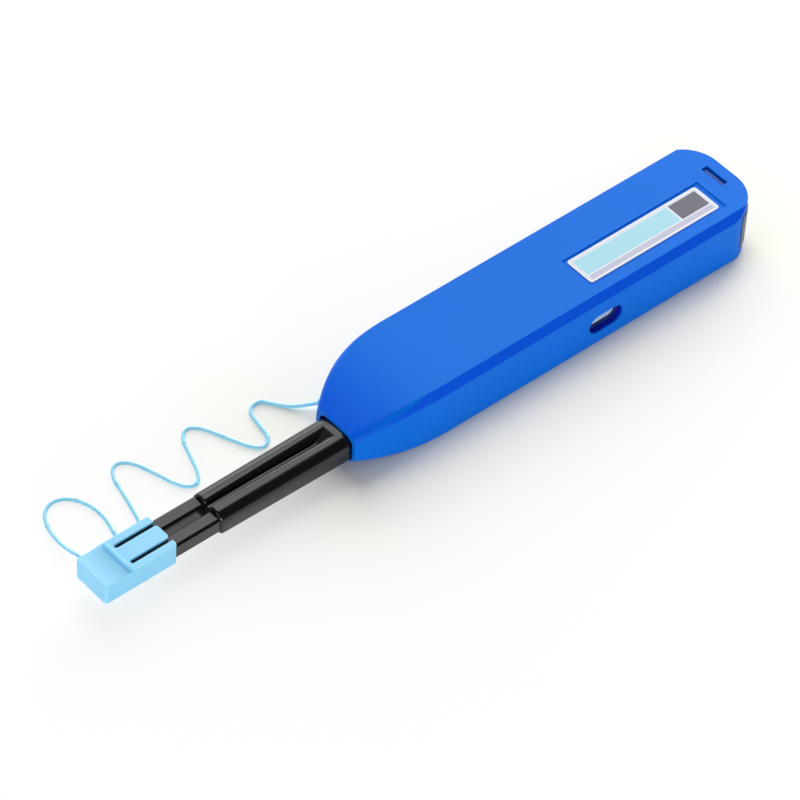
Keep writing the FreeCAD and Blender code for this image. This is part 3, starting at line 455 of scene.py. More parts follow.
@dataclass
class Finishes:
    """Every finish of the pen, by the record's material slot."""

    effects: SharedEffects
    made: dict[str, bpy.types.Material] = field(default_factory=dict)

    def __post_init__(self) -> None:
        """Build all the materials."""
        plans = {
            # The case's deeper blue on its chamfer strips and over its nose is painted shade.
            "case_blue": Moulding("case_blue", written(0, 110, 222), 0.45, 0.00022, 0.05, 0.03, 0.35, specular=0.07,
                                  painted_shade=written(0, 84, 224)),
            "label_film": LabelPrint(*(Vector(corner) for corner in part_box("label"))),
            "insert_grey": Moulding("insert_grey", written(98, 100, 112), 0.5, 0.0003, 0.1, 0.05),
            "latch_blue": Moulding("latch_blue", written(54, 90, 176), 0.45, 0.0003, 0.06, 0.04, specular=0.14),
            # Darker blue of the lining over the window's wall, which is painted shade.
            "window_wall_shade": Moulding("window_wall_shade", written(0, 34, 176), 0.45, 0.0003, 0.06, 0.04, specular=0.1),
            # Dark navy of the ring behind the window, which is painted shade.
            "window_shade_navy": Moulding("window_shade_navy", written(8, 16, 84), 0.4, 0.0003, 0.06, 0.04),
            "chassis_pale": Moulding("chassis_pale", written(184, 206, 238), 0.45, 0.0003, 0.08, 0.03),
            "steel": DrawnSteel("steel", (0.58, 0.58, 0.6)),
            "spring_steel": DrawnSteel("spring_steel", (0.5, 0.5, 0.52), 0.24, 3200.0),
            "spool_white": Moulding("spool_white", written(226, 226, 222), 0.5, 0.0003, 0.08, 0.03),
            "cleaning_tape": WovenTape(),
            "acetal": Moulding("acetal", written(232, 229, 216), 0.38, 0.0003, 0.05, 0.02, 0.3, scatter=0.1),
            "nozzle_black": Moulding("nozzle_black", written(11, 11, 12), 0.2, 0.0002, 0.04, 0.1, 0.4),
            "tip_white": Moulding("tip_white", written(238, 238, 234), 0.4, 0.0003, 0.04, 0.02),
            "cap_light_blue": Moulding("cap_light_blue", written(140, 214, 252), 0.44, 0.00026, 0.05, 0.02, 0.3,
                                       scatter=0.15),
            "tether_light_blue": Moulding("tether_light_blue", written(152, 222, 248), 0.46, 0.0003, 0.06, 0.03,
                                          0.3, scatter=0.15),
        }
        for slot, plan in plans.items():
            self.made[slot] = plan.material(self.effects)

    def __getitem__(self, slot: str) -> bpy.types.Material:
        """The material of one slot."""
        return self.made[slot]


# ================================================================ meshes
def share(value: float, start: float, end: float) -> float:
    """How far a value has come from start to end, from 0 to 1."""
    return min(1.0, max(0.0, (value - start) / (end - start)))


def piece_from(name: str, mesh: bpy.types.Mesh, material: bpy.types.Material) -> bpy.types.Object:
    """Link a mesh as a piece at the origin with one material.

    Args:
        name: Name of the piece.
        mesh: Its mesh.
        material: Its one material.

    Returns:
        The new piece, at the origin.
    """
    mesh.materials.clear()
    mesh.materials.append(material)
    made = bpy.data.objects.new(name, mesh)
    bpy.context.collection.objects.link(made)
    return made


def settled(piece: bpy.types.Object) -> bpy.types.Object:
    """Turn a piece's modifiers into its plain mesh.

    Args:
        piece: The piece with its modifiers.

    Returns:
        The same piece, without modifiers.
    """
    graph = bpy.context.evaluated_depsgraph_get()
    mesh = bpy.data.meshes.new_from_object(piece.evaluated_get(graph))
    piece.modifiers.clear()
    piece.data = mesh
    return piece


def closed(shape: bmesh.types.BMesh, name: str) -> bpy.types.Mesh:
    """Turn a shape's faces outwards and keep it as a mesh.

    Args:
        shape: The shape, which is freed.
        name: Name of the mesh.

    Returns:
        The new mesh.
    """
    bmesh.ops.recalc_face_normals(shape, faces=shape.faces[:])
    mesh = bpy.data.meshes.new(name)
    shape.to_mesh(mesh)
    shape.free()
    return mesh


def skinned(shape: bmesh.types.BMesh, loops: Sequence[Sequence[Any]], capped: bool = True) -> None:
    """Join loops of equal length with quads, and close the two ends where asked.

    Args:
        shape: The shape that the loops lie in.
        loops: Loops of vertices, in order.
        capped: Whether the first and the last loop get a face.
    """
    count = len(loops[0])
    for first, second in zip(loops, loops[1:]):
        for i in range(count):
            after = (i + 1) % count
            shape.faces.new((first[i], first[after], second[after], second[i]))
    if capped:
        shape.faces.new(tuple(reversed(loops[0])))
        shape.faces.new(tuple(loops[-1]))


def smooth_faces(mesh: bpy.types.Mesh, angle: float = 32.0) -> None:
    """Shade a mesh smooth, with edges sharper than the angle (degrees) kept crisp."""
    mesh.shade_smooth()
    mesh.set_sharp_from_angle(angle=math.radians(angle))


@dataclass
class PenFrame:
    """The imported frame, with the calls that every sub-assembly needs."""

    packed: dict[str, Any]
    finishes: Finishes

    def __post_init__(self) -> None:
        """Read each node's material slot from the record."""
        self.slots = {part["node"]: part["material_slot"] for part in self.packed["record"]["subparts"]}

    def dress(self, node: str) -> None:
        """Give a CAD node its finish.

        Args:
            node: The CAD node's name.
        """
        mesh = self.packed["nodes"][node].data
        mesh.materials.clear()
        mesh.materials.append(self.finishes[self.slots[node]])
        LOG.info("dressed %s", node)

    def copy_of(self, node: str) -> bmesh.types.BMesh:
        """A copy of a CAD node's mesh with its doubles merged and its flat faces whole.

        Args:
            node: The CAD node's name.

        Returns:
            The copy, for the caller to free.
        """
        shape = bmesh.new()
        shape.from_mesh(self.packed["nodes"][node].data)
        bmesh.ops.remove_doubles(shape, verts=shape.verts[:], dist=1e-6)
        bmesh.ops.dissolve_limit(shape, angle_limit=math.radians(0.03), verts=shape.verts[:], edges=shape.edges[:])
        return shape

    def softened(self, node: str, width: float, steps: int = 3, angle: float = 34.0) -> bpy.types.Object:
        """A CAD node with its moulded edges rounded, standing in for the node.

        Args:
            node: The CAD node's name.
            width: Width of the rounding, in metres.
            steps: Faces across each rounding.
            angle: Edges flatter than this many degrees stay as they are.

        Returns:
            The piece, not yet riding on a body.
        """
        mesh = bpy.data.meshes.new(f"{node}_soft")
        shape = self.copy_of(node)
        shape.to_mesh(mesh)
        shape.free()
        piece = piece_from(f"{node}_soft", mesh, self.finishes[self.slots[node]])
        smooth_faces(mesh, angle - 2.0)
        edge = piece.modifiers.new("edge", "BEVEL")
        edge.width = width
        edge.segments = steps
        edge.limit_method = "ANGLE"
        edge.angle_limit = math.radians(angle)
        edge.miter_outer = "MITER_ARC"
        edge.use_clamp_overlap = True
        flat = piece.modifiers.new("flat", "WEIGHTED_NORMAL")
        flat.mode = "FACE_AREA"
        flat.weight = 80
        flat.keep_sharp = True
        settled(piece)
        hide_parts(node)
        return piece

    def seat(self, piece: bpy.types.Object, body: Body, slot: str) -> bpy.types.Object:
        """Let a piece ride on a body.

        Args:
            piece: The finished piece.
            body: The body that carries it.
            slot: The record's material slot; not used.

        Returns:
            The same piece.
        """
        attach(piece, body.value)
        LOG.info("%s: %d faces", piece.name, len(piece.data.polygons))
        return piece


# ================================================================ geometry node trees
def geometry_tree(name: str, inputs: dict[str, tuple[str, Any]]) -> tuple[Tree, Any, Any]:
    """Start a Geometry Nodes tree with a geometry input and output and named inputs."""
    shape = "NodeSocketGeometry"
    return node_group("GeometryNodeTree", name, {"Geometry": (shape, None), **inputs}, {"Geometry": shape})


def grown(name: str, seed_mesh: bpy.types.Mesh, tree: bpy.types.NodeTree, values: dict[str, Any]) -> bpy.types.Object:
    """Run a Geometry Nodes tree on a mesh and keep the result as a plain mesh.

    Args:
        name: Name of the new piece.
        seed_mesh: The mesh that the tree starts from.
        tree: The Geometry Nodes tree.
        values: Input name to value.

    Returns:
        The finished piece.
    """
    made = bpy.data.objects.new(name, seed_mesh)
    bpy.context.collection.objects.link(made)
    modifier = made.modifiers.new("grow", "NODES")
    modifier.node_group = tree
    for item in tree.interface.items_tree:
        if item.item_type == "SOCKET" and item.in_out == "INPUT" and item.name in values:
            modifier[item.identifier] = values[item.name]
    settled(made)
    smooth_faces(made.data, 40.0)
    return made


def coil_tree() -> bpy.types.NodeTree:
    """Round spring wire wound along X at each point of the seed mesh.

    Returns:
        The tree.
    """
    plan, given, out = geometry_tree("wire_coil", {
        "Turns": ("NodeSocketFloat", 8.0), "Radius": ("NodeSocketFloat", 0.003),
        "Length": ("NodeSocketFloat", 0.025), "Wire": ("NodeSocketFloat", 0.0007),
        "Material": ("NodeSocketMaterial", None)})
    spiral = plan.add("GeometryNodeCurveSpiral", {
        "Resolution": 40, "Rotations": given.outputs["Turns"], "Start Radius": given.outputs["Radius"],
        "End Radius": given.outputs["Radius"], "Height": given.outputs["Length"]})
    wire = plan.add("GeometryNodeCurvePrimitiveCircle", {"Resolution": 12})
    plan.tree.links.new(plan.maths("MULTIPLY", given.outputs["Wire"], 0.5), wire.inputs["Radius"])
    tube = plan.add("GeometryNodeCurveToMesh", {"Curve": spiral.outputs[0], "Profile Curve": wire.outputs[0],
                                                "Fill Caps": True})
    laid = plan.add("GeometryNodeTransform", {"Geometry": tube.outputs[0], "Rotation": (0.0, math.pi / 2, 0.0)})
    copies = plan.add("GeometryNodeInstanceOnPoints", {"Points": given.outputs["Geometry"],
                                                       "Instance": laid.outputs[0]})
    real = plan.add("GeometryNodeRealizeInstances", {0: copies.outputs[0]})
    dressed = plan.add("GeometryNodeSetMaterial", {"Geometry": real.outputs[0], "Material": given.outputs["Material"]})
    plan.tree.links.new(dressed.outputs[0], out.inputs[0])
    return plan.tree


def points_mesh(name: str, points: Iterable[Sequence[float]]) -> bpy.types.Mesh:
    """A mesh of loose points.

    Args:
        name: Name of the mesh.
        points: Where the points lie.

    Returns:
        The mesh.
    """
    mesh = bpy.data.meshes.new(name)
    mesh.from_pydata([tuple(p) for p in points], [], [])
    return mesh


# ================================================================ sub-assemblies
@dataclass
class OuterCase:
    """The blue case, its end plug, its label, and painted shade in and behind the window: a dark ring and a darker
    lining of its wall.
    """

    pen: PenFrame
    edge: float = 0.22 * MM
    label_edge: float = 0.05 * MM
    wall: float = 1.8 * MM
    chassis_gap: float = 0.5 * MM
    latch_length: float = 12.0 * MM
    latch_drop: float = 1.7 * MM
    window_x: tuple[float, float] = (-5.6 * MM, 5.7 * MM)
    window_z: tuple[float, float] = (4.1 * MM, 10.0 * MM)
    # Insets and depths of the dark ring behind the window, which is painted shade.
    shade_ring_out: float = 0.3 * MM
    shade_ring_in: float = 1.05 * MM
    bead: tuple[float, float] = (0.42 * MM, 0.62 * MM)
    # Depth and insets of the darker lining of the window's wall, which is painted shade.
    liner_down: float = 0.4 * MM
    liner: tuple[float, float] = (0.02 * MM, 0.15 * MM)
    shade_ring_y: tuple[float, float] = (0.02 * MM, 0.06 * MM)
    bead_y: tuple[float, float] = (0.05 * MM, 0.04 * MM)
    arc_steps: int = 14
    # Facing and lean of the chamfer strips, and reach and level over the nose, for the painted shade.
    band_facing: tuple[float, float] = (0.8606, 0.5093)
    nose_x: tuple[float, float] = (9.0 * MM, 27.0 * MM)
    nose_shade_share: float = 0.75
    band_lean: tuple[float, float] = (0.955, 0.985)
    nose_level: tuple[float, float] = (0.3, 0.6)

    def build(self) -> None:
        """Make and seat the case's pieces."""
        pen = self.pen
        shell = pen.softened("outer_case", self.edge, angle=26.0)
        self.mark_painted_shade(shell)
        pen.seat(shell, Body.HOUSING, "case_blue")
        plug = pen.softened("rear_insert", self.edge)
        self.colour_latch(plug)
        pen.seat(plug, Body.HOUSING, "insert_grey")
        pen.seat(pen.softened("label", self.label_edge), Body.HOUSING, "label_film")
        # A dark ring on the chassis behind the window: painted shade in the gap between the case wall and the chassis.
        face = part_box("chassis_tray")[1][1]
        inner = face + self.chassis_gap - self.shade_ring_y[1]
        frame = self.obround_ring("window_shade_ring", -self.shade_ring_out, self.shade_ring_in, face - self.shade_ring_y[0], inner,
                                  "window_shade_navy")
        pen.seat(frame, Body.HOUSING, "chassis_pale")
        # A darker lining over the window's wall: painted shade in the hole.
        liner = self.obround_ring("window_wall_shade_liner", *self.liner, inner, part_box("outer_case")[1][1] - self.liner_down,
                                  "window_wall_shade")
        pen.seat(liner, Body.HOUSING, "case_blue")
        bead = self.obround_ring("window_bead", *self.bead, inner - self.bead_y[0], inner + self.bead_y[1],
                                 "latch_blue")
        pen.seat(bead, Body.HOUSING, "case_blue")

    def mark_painted_shade(self, shell: bpy.types.Object) -> None:
        """Store where shade is painted into the blue: along the chamfer strips of the top's long edges, and over the
        nose.

        Args:
            shell: The outer case.
        """
        mesh = shell.data
        mark = mesh.attributes.new("painted_shade", "FLOAT", "CORNER")
        # Painted shade: full on faces turned like the chamfer strips, and a share over the nose that grows toward the
        # mouth.
        for loop, spot, normal in zip(mesh.loops, mark.data, mesh.corner_normals):
            lean = abs(normal.vector.y) * self.band_facing[0] + normal.vector.z * self.band_facing[1]
            place = mesh.vertices[loop.vertex_index].co
            nose = self.nose_shade_share * share(place.x, *self.nose_x) * share(normal.vector.z, *self.nose_level)
            spot.value = max(nose, share(lean, *self.band_lean))

    def colour_latch(self, plug: bpy.types.Object) -> None:
        """Give the plug's latch, under the slot of the top wall, its own blue.

        Args:
            plug: The end plug.
        """
        low, high = (Vector(corner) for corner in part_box("rear_insert"))
        plug.data.materials.append(self.pen.finishes["latch_blue"])
        for face in plug.data.polygons:
            if face.center.z > high.z - self.latch_drop and face.center.x < low.x + self.latch_length:
                face.material_index = 1

    def obround(self, inset: float, y: float) -> list[tuple[float, float, float]]:
        """The window's outline at one depth, drawn in by an inset.

        Args:
            inset: How far it is drawn in.
            y: The depth, as a Y.

        Returns:
            The outline's points, in order.
        """
        spool = (Vector(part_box("takeup_spool")[0]) + Vector(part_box("takeup_spool")[1])) / 2
        x0, x1 = (spool.x + edge for edge in self.window_x)
        z0, z1 = self.window_z
        round_by = (z1 - z0) / 2
        points = []
        for centre, start in ((x1 - round_by, -90.0), (x0 + round_by, 90.0)):
            for step in range(self.arc_steps + 1):
                turn = math.radians(start + 180.0 * step / self.arc_steps)
                reach = round_by - inset
                points.append((centre + reach * math.cos(turn), y, (z0 + z1) / 2 + reach * math.sin(turn)))
        return points

    def obround_ring(self, name: str, outside: float, inside: float, back: float, front: float,
                     slot: str) -> bpy.types.Object:
        """A flat ring that follows the window.

        Args:
            name: Name of the piece.
            outside: Inset of its outer edge from the window's edge.
            inside: Inset of its inner edge.
            back: Y of its back face.
            front: Y of its front face.
            slot: The finish.

        Returns:
            The piece, not yet riding on a body.
        """
        shape = bmesh.new()
        loops = [[shape.verts.new(place) for place in self.obround(inset, y)]
                 for inset, y in ((outside, back), (outside, front), (inside, front), (inside, back))]
        skinned(shape, [*loops, loops[0]], capped=False)
        mesh = closed(shape, name)
        smooth_faces(mesh)
        return piece_from(name, mesh, self.pen.finishes[slot])


@dataclass
class Mechanism:
    """Chassis, spools, tape, gear, leaves and screws."""

    pen: PenFrame
    coil: bpy.types.NodeTree
    spring_turns: float = 8.0
    spring_wire: float = 0.7 * MM
    tip_spring_turns: float = 4.0
    tip_spring_wire: float = 0.3 * MM
    stroke: float = 12.0 * MM

    def build(self) -> None:
        """Dress the CAD nodes and wind the springs."""
        for node in ("chassis_tray", "chassis_cover", "cover_screws", "pawl", "brake_leaf", "supply_spool",
                     "supply_tape", "takeup_spool", "takeup_tape", "takeup_gear", "tape_strands"):
            self.pen.dress(node)
        coil = self.spring("return_spring", 1, self.spring_turns, self.spring_wire, Body.HOUSING)
        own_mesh(coil)
        self.spring("tip_springs", 2, self.tip_spring_turns, self.tip_spring_wire, Body.NOZZLE)

    def spring(self, node: str, count: int, turns: float, wire: float, body: Body) -> bpy.types.Object:
        """Round-wire springs inside one CAD node's box, side by side along Y.

        Args:
            node: The CAD node that they stand for.
            count: How many springs lie side by side.
            turns: Turns of each spring.
            wire: Wire diameter, in metres.
            body: The body that they ride on.

        Returns:
            The wound piece.
        """
        low, high = (Vector(corner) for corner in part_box(node))
        outer = (high.z - low.z) / 2
        step = (high.y - low.y - 2 * outer) / max(1, count - 1)
        seats = [(low.x + wire / 2, low.y + outer + i * step, (low.z + high.z) / 2) for i in range(count)]
        steel = self.pen.finishes["spring_steel"]
        piece = grown(f"{node}_wire", points_mesh(f"{node}_seats", seats), self.coil, {
            "Turns": turns, "Radius": outer - wire / 2, "Length": high.x - low.x - wire, "Wire": wire,
            "Material": steel})
        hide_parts(node)
        self.pen.seat(piece, body, "spring_steel")
        return piece


@dataclass
class SleeveForm:
    """Shape of the two-lobed sleeve, as rings across X about the nozzle axis."""

    low: Vector
    high: Vector
    flange_length: float = 2.0 * MM
    base: tuple[float, float] = (6.05 * MM, 3.55 * MM)
    tip: tuple[float, float] = (5.7 * MM, 3.35 * MM)
    crest: float = 2.72 * MM
    inner: tuple[float, float] = (0.45 * MM, 0.8 * MM)
    inner_radius: tuple[float, float] = (2.27 * MM, 1.0 * MM)
    low_radius: float = 1.0 * MM
    ramp: tuple[float, float] = (38.9 * MM, 33.0 * MM)
    valley: float = 1.9 * MM
    shelf: float = 0.42 * MM
    rim: float = 0.8 * MM
    rim_inset: float = 0.42 * MM
    guide: tuple[float, float, float] = (2.15 * MM, 2.17 * MM, 0.6 * MM)
    pitch: float = 6.25 * MM
    groove: tuple[float, float, float] = (0.12 * MM, 0.26 * MM, 0.2 * MM)
    flange_radius: float = 2.0 * MM
    arc_steps: int = 10
    ramp_steps: int = 10
    lobe_steps: int = 12
    rim_steps: int = 6

    def __post_init__(self) -> None:
        """Find the axis from the node's box."""
        self.axis = (self.low + self.high) / 2

    def arc(self, centre: tuple[float, float], radius: float, start: float, end: float) -> list[tuple[float, float]]:
        """Points of an arc across X, from one angle to another in degrees."""
        turns = (math.radians(start + (end - start) * i / self.arc_steps) for i in range(self.arc_steps + 1))
        return [(centre[0] + radius * math.cos(t), centre[1] + radius * math.sin(t)) for t in turns]

    def ring(self, x: float, inset: float = 0.0) -> list[tuple[float, float, float]]:
        """One ring of the lobes, valley and shelf.

        Args:
            x: Where along the pen.
            inset: How far the rim is drawn in.

        Returns:
            The ring's points, from the near lower corner over the top to the far one.
        """
        start = self.high.x - self.ramp[0]
        along = share(x, start, self.high.x)
        half_y, half_z = (a + (b - a) * along - inset for a, b in zip(self.base, self.tip))
        inner, bend = (a + (b - a) * along for a, b in (self.inner, self.inner_radius))
        inner, bend = inner + inset * 0.3, bend - inset * 0.3
        outer_radius = half_y - self.crest
        bottom = self.tip[1] - self.valley - inset * 0.8
        slope = share(x - start, 0.0, self.ramp[0] - self.ramp[1])
        floor = half_z + (bottom - half_z) * slope
        shelf = max(floor, bottom + self.shelf)

        def inner_side(level: float) -> list[tuple[float, float]]:
            """The inner top rounding of the near lobe, from its crest down to a level."""
            down = min(1.0, max(-1.0, (level - (half_z - bend)) / bend))
            return self.arc((inner + bend, half_z - bend), bend, 90.0, 180.0 - math.degrees(math.asin(down)))

        corner = self.arc((half_y - self.low_radius, self.low_radius - half_z), self.low_radius, -90.0, 0.0)
        top = self.arc((self.crest, half_z - outer_radius), outer_radius, 0.0, 90.0)
        near, far = inner_side(shelf), inner_side(floor)
        edge = -inner * along
        out, back, down = self.groove
        groove = [(near[-1][0] - out, shelf - min(down, shelf - floor)), (near[-1][0] - back, shelf)]
        middle = [*groove, (edge, shelf), (edge, floor)]
        points = [*corner, *top, *near, *middle, *((-y, z) for y, z in reversed([*corner, *top, *far]))]
        return [(x, self.axis.y + y, self.axis.z + z) for y, z in points]

    def flange_ring(self, x: float) -> list[tuple[float, float, float]]:
        """One ring of the stop flange, with as many points as the other rings.

        Args:
            x: Where along the pen.

        Returns:
            The ring's points.
        """
        half_y, half_z, radius = self.high.y - self.axis.y, self.high.z - self.axis.z, self.flange_radius
        corner = self.arc((half_y - radius, radius - half_z), radius, -90.0, 0.0)
        top = self.arc((half_y - radius, half_z - radius), radius, 0.0, 90.0)
        side = [*corner, *top, *([(half_y - radius, half_z)] * len(top))]
        middle = [(y * MM, half_z) for y in (3.0, 2.0, 1.0, 0.0)]
        points = [*side, *middle, *((-y, z) for y, z in reversed(side))]
        return [(x, self.axis.y + y, self.axis.z + z) for y, z in points]

    def body(self) -> bpy.types.Mesh:
        """The closed solid of the sleeve, without its two channels.

        Returns:
            Its mesh.
        """
        start, end = self.high.x - self.ramp[0], self.high.x - self.rim
        front = self.low.x + self.flange_length
        rings = [self.flange_ring(self.low.x), self.flange_ring(front), self.ring(front)]
        rings += [self.ring(start + (self.ramp[0] - self.ramp[1]) * i / self.ramp_steps)
                  for i in range(self.ramp_steps + 1)]
        ramp_end = self.high.x - self.ramp[1]
        rings += [self.ring(ramp_end + (end - ramp_end) * i / self.lobe_steps) for i in range(1, self.lobe_steps + 1)]
        for step in range(1, self.rim_steps + 1):
            turn = math.radians(90.0 / self.rim_steps * step)
            rings.append(self.ring(end + self.rim * math.sin(turn), self.rim_inset * (1 - math.cos(turn))))
        shape = bmesh.new()
        loops = [[shape.verts.new(place) for place in ring] for ring in rings]
        skinned(shape, loops)
        bmesh.ops.remove_doubles(shape, verts=shape.verts[:], dist=1e-6)
        bmesh.ops.dissolve_degenerate(shape, edges=shape.edges[:], dist=1e-6)
        return closed(shape, "nozzle_sleeve_soft")

    def channel(self, side: int) -> bpy.types.Object:
        """The through way of one tip guide, as a cutter.

        Args:
            side: -1 or 1, for the guide toward -Y or +Y.

        Returns:
            The cutter.
        """
        half_y, half_z, cut = self.guide
        centre = self.axis.y + side * self.pitch / 2
        outline = [(-half_y, -half_z), (half_y, -half_z), (half_y, half_z - cut), (half_y - cut, half_z),
                   (cut - half_y, half_z), (-half_y, half_z - cut)]
        shape = bmesh.new()
        skinned(shape, [[shape.verts.new((x, centre + y, self.axis.z + z)) for y, z in outline]
                        for x in (self.low.x - MM, self.high.x + MM)])
        made = bpy.data.objects.new("channel", closed(shape, "channel"))
        bpy.context.collection.objects.link(made)
        return made

    def piece(self, material: bpy.types.Material) -> bpy.types.Object:
        """The finished sleeve, cut through by its channels.

        Args:
            material: The finish.

        Returns:
            The piece, not yet riding on a body.
        """
        made = piece_from("nozzle_sleeve_soft", self.body(), material)
        cutters = [self.channel(side) for side in (-1, 1)]
        for cutter in cutters:
            cut = made.modifiers.new("channel", "BOOLEAN")
            cut.operation = "DIFFERENCE"
            cut.solver = "EXACT"
            cut.object = cutter
        settled(made)
        for cutter in cutters:
            bpy.data.objects.remove(cutter)
        smooth_faces(made.data, 28.0)
        return made


@dataclass
class Nozzle:
    """The sliding nozzle: sleeve, tip guides, tips, carriage and rack."""

    pen: PenFrame
    sleeve_edge: float = 0.16 * MM
    guide_edge: float = 0.12 * MM

    def build(self) -> None:
        """Make and seat the nozzle's pieces."""
        pen = self.pen
        sleeve = SleeveForm(*(Vector(corner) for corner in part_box("nozzle_sleeve"))).piece(
            pen.finishes["nozzle_black"])
        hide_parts("nozzle_sleeve")
        pen.seat(sleeve, Body.NOZZLE, "nozzle_black")
        pen.seat(pen.softened("tip_guides", self.guide_edge), Body.NOZZLE, "nozzle_black")
        pen.seat(pen.softened("carriage", self.sleeve_edge), Body.NOZZLE, "nozzle_black")
        for node in ("drive_rack", "cleaning_tips"):
            pen.dress(node)


@dataclass
class TipCap:
    """The light blue cap over the tips."""

    pen: PenFrame
    edge: float = 0.2 * MM

    def build(self) -> None:
        """Make and seat the cap."""
        self.pen.seat(self.pen.softened("tip_cap", self.edge), Body.CAP, "cap_light_blue")


@dataclass
class Tether:
    """The soft cord from the nose to the cap, laid in loose waves on the floor."""

    pen: PenFrame
    diameter: float = 0.95 * MM
    sides: int = 14
    line_steps: int = 14
    nub_length: float = 0.9 * MM
    nub_rise: float = 0.32
    nub_every: float = 14.5 * MM
    nose_end: tuple[tuple[float, float, float], ...] = ((0.0212, -0.0119, 0.0019), (0.0261, -0.01535, 0.00058))
    waves: tuple[tuple[float, float], ...] = (
        (0.0292, -0.0194), (0.0316, -0.0229), (0.0356, -0.0219), (0.0367, -0.0169), (0.0374, -0.0114),
        (0.0405, -0.0093), (0.0433, -0.0118), (0.0459, -0.0180), (0.0489, -0.0249), (0.0521, -0.0268),
        (0.0549, -0.0242), (0.0569, -0.0181), (0.0592, -0.0120), (0.0620, -0.0099), (0.0651, -0.0122),
        (0.0671, -0.0193), (0.0695, -0.0262), (0.0731, -0.0284), (0.0762, -0.0254), (0.0778, -0.0180),
        (0.0801, -0.0096), (0.0817, -0.0054), (0.0850, -0.0036), (0.0879, -0.0059), (0.0874, -0.0101),
        (0.0858, -0.0159), (0.0864, -0.0219), (0.0890, -0.0263), (0.0929, -0.0280), (0.0970, -0.0260),
        (0.0992, -0.0208))
    cap_end: tuple[tuple[float, float, float], ...] = (
        (0.1004, -0.0144, 0.0016), (0.1014, -0.0080, 0.0049), (0.1018, -0.0060, 0.0064), (0.1018, -0.0026, 0.0064))

    def __post_init__(self) -> None:
        """Put the route together: its waves lie on the floor, half a diameter up."""
        self.route: tuple[tuple[float, float, float], ...] = (
            *self.nose_end, *((x, y, self.diameter / 2) for x, y in self.waves), *self.cap_end)

    def centre_line(self) -> list[Vector]:
        """Points along the route's smooth line.

        Returns:
            The points, from the nose to the cap.
        """
        curve = bpy.data.curves.new("tether_line", "CURVE")
        curve.dimensions = "3D"
        spline = curve.splines.new("NURBS")
        spline.points.add(len(self.route) - 1)
        for point, place in zip(spline.points, self.route):
            point.co = (*place, 1.0)
        spline.order_u = 3
        spline.use_endpoint_u = True
        spline.resolution_u = self.line_steps
        holder = bpy.data.objects.new("tether_line", curve)
        mesh = bpy.data.meshes.new_from_object(holder)
        line = [vertex.co.copy() for vertex in mesh.vertices]
        bpy.data.objects.remove(holder)
        return line

    def radius_at(self, travelled: float) -> float:
        """Radius of the cord, swollen at the small moulding nubs along it.

        Args:
            travelled: Distance along the cord.

        Returns:
            The radius there.
        """
        from_nub = abs((travelled + self.nub_every / 2) % self.nub_every - self.nub_every / 2)
        swell = max(0.0, 1.0 - from_nub / self.nub_length)
        return self.diameter / 2 * (1.0 + self.nub_rise * swell * swell * (3 - 2 * swell))

    def tube(self, line: list[Vector]) -> bpy.types.Mesh:
        """A closed round tube along the line, its rings carried without twist.

        Args:
            line: Points along the middle of the cord.

        Returns:
            The cord's mesh.
        """
        shape = bmesh.new()
        side = (line[1] - line[0]).cross(Vector((0, 0, 1))).normalized()
        rings, travelled = [], 0.0
        for index, point in enumerate(line):
            ahead = line[min(index + 1, len(line) - 1)] - line[max(index - 1, 0)]
            ahead.normalize()
            side = (side - ahead * side.dot(ahead)).normalized()
            over = ahead.cross(side)
            if index:
                travelled += (point - line[index - 1]).length
            radius = self.radius_at(travelled)
            ring = []
            for step in range(self.sides):
                turn = 2 * math.pi * step / self.sides
                place = point + side * (radius * math.cos(turn)) + over * (radius * math.sin(turn))
                place.z = max(place.z, 0.0)
                ring.append(shape.verts.new(place))
            rings.append(ring)
        skinned(shape, rings)
        mesh = closed(shape, "tether_cord")
        smooth_faces(mesh, 50.0)
        return mesh

    def build(self) -> None:
        line = self.centre_line()
        cord = piece_from("tether_cord", self.tube(line), self.pen.finishes["tether_light_blue"])
        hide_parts("tether")
        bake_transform(cord)
        self.pen.dress("tether_plug")


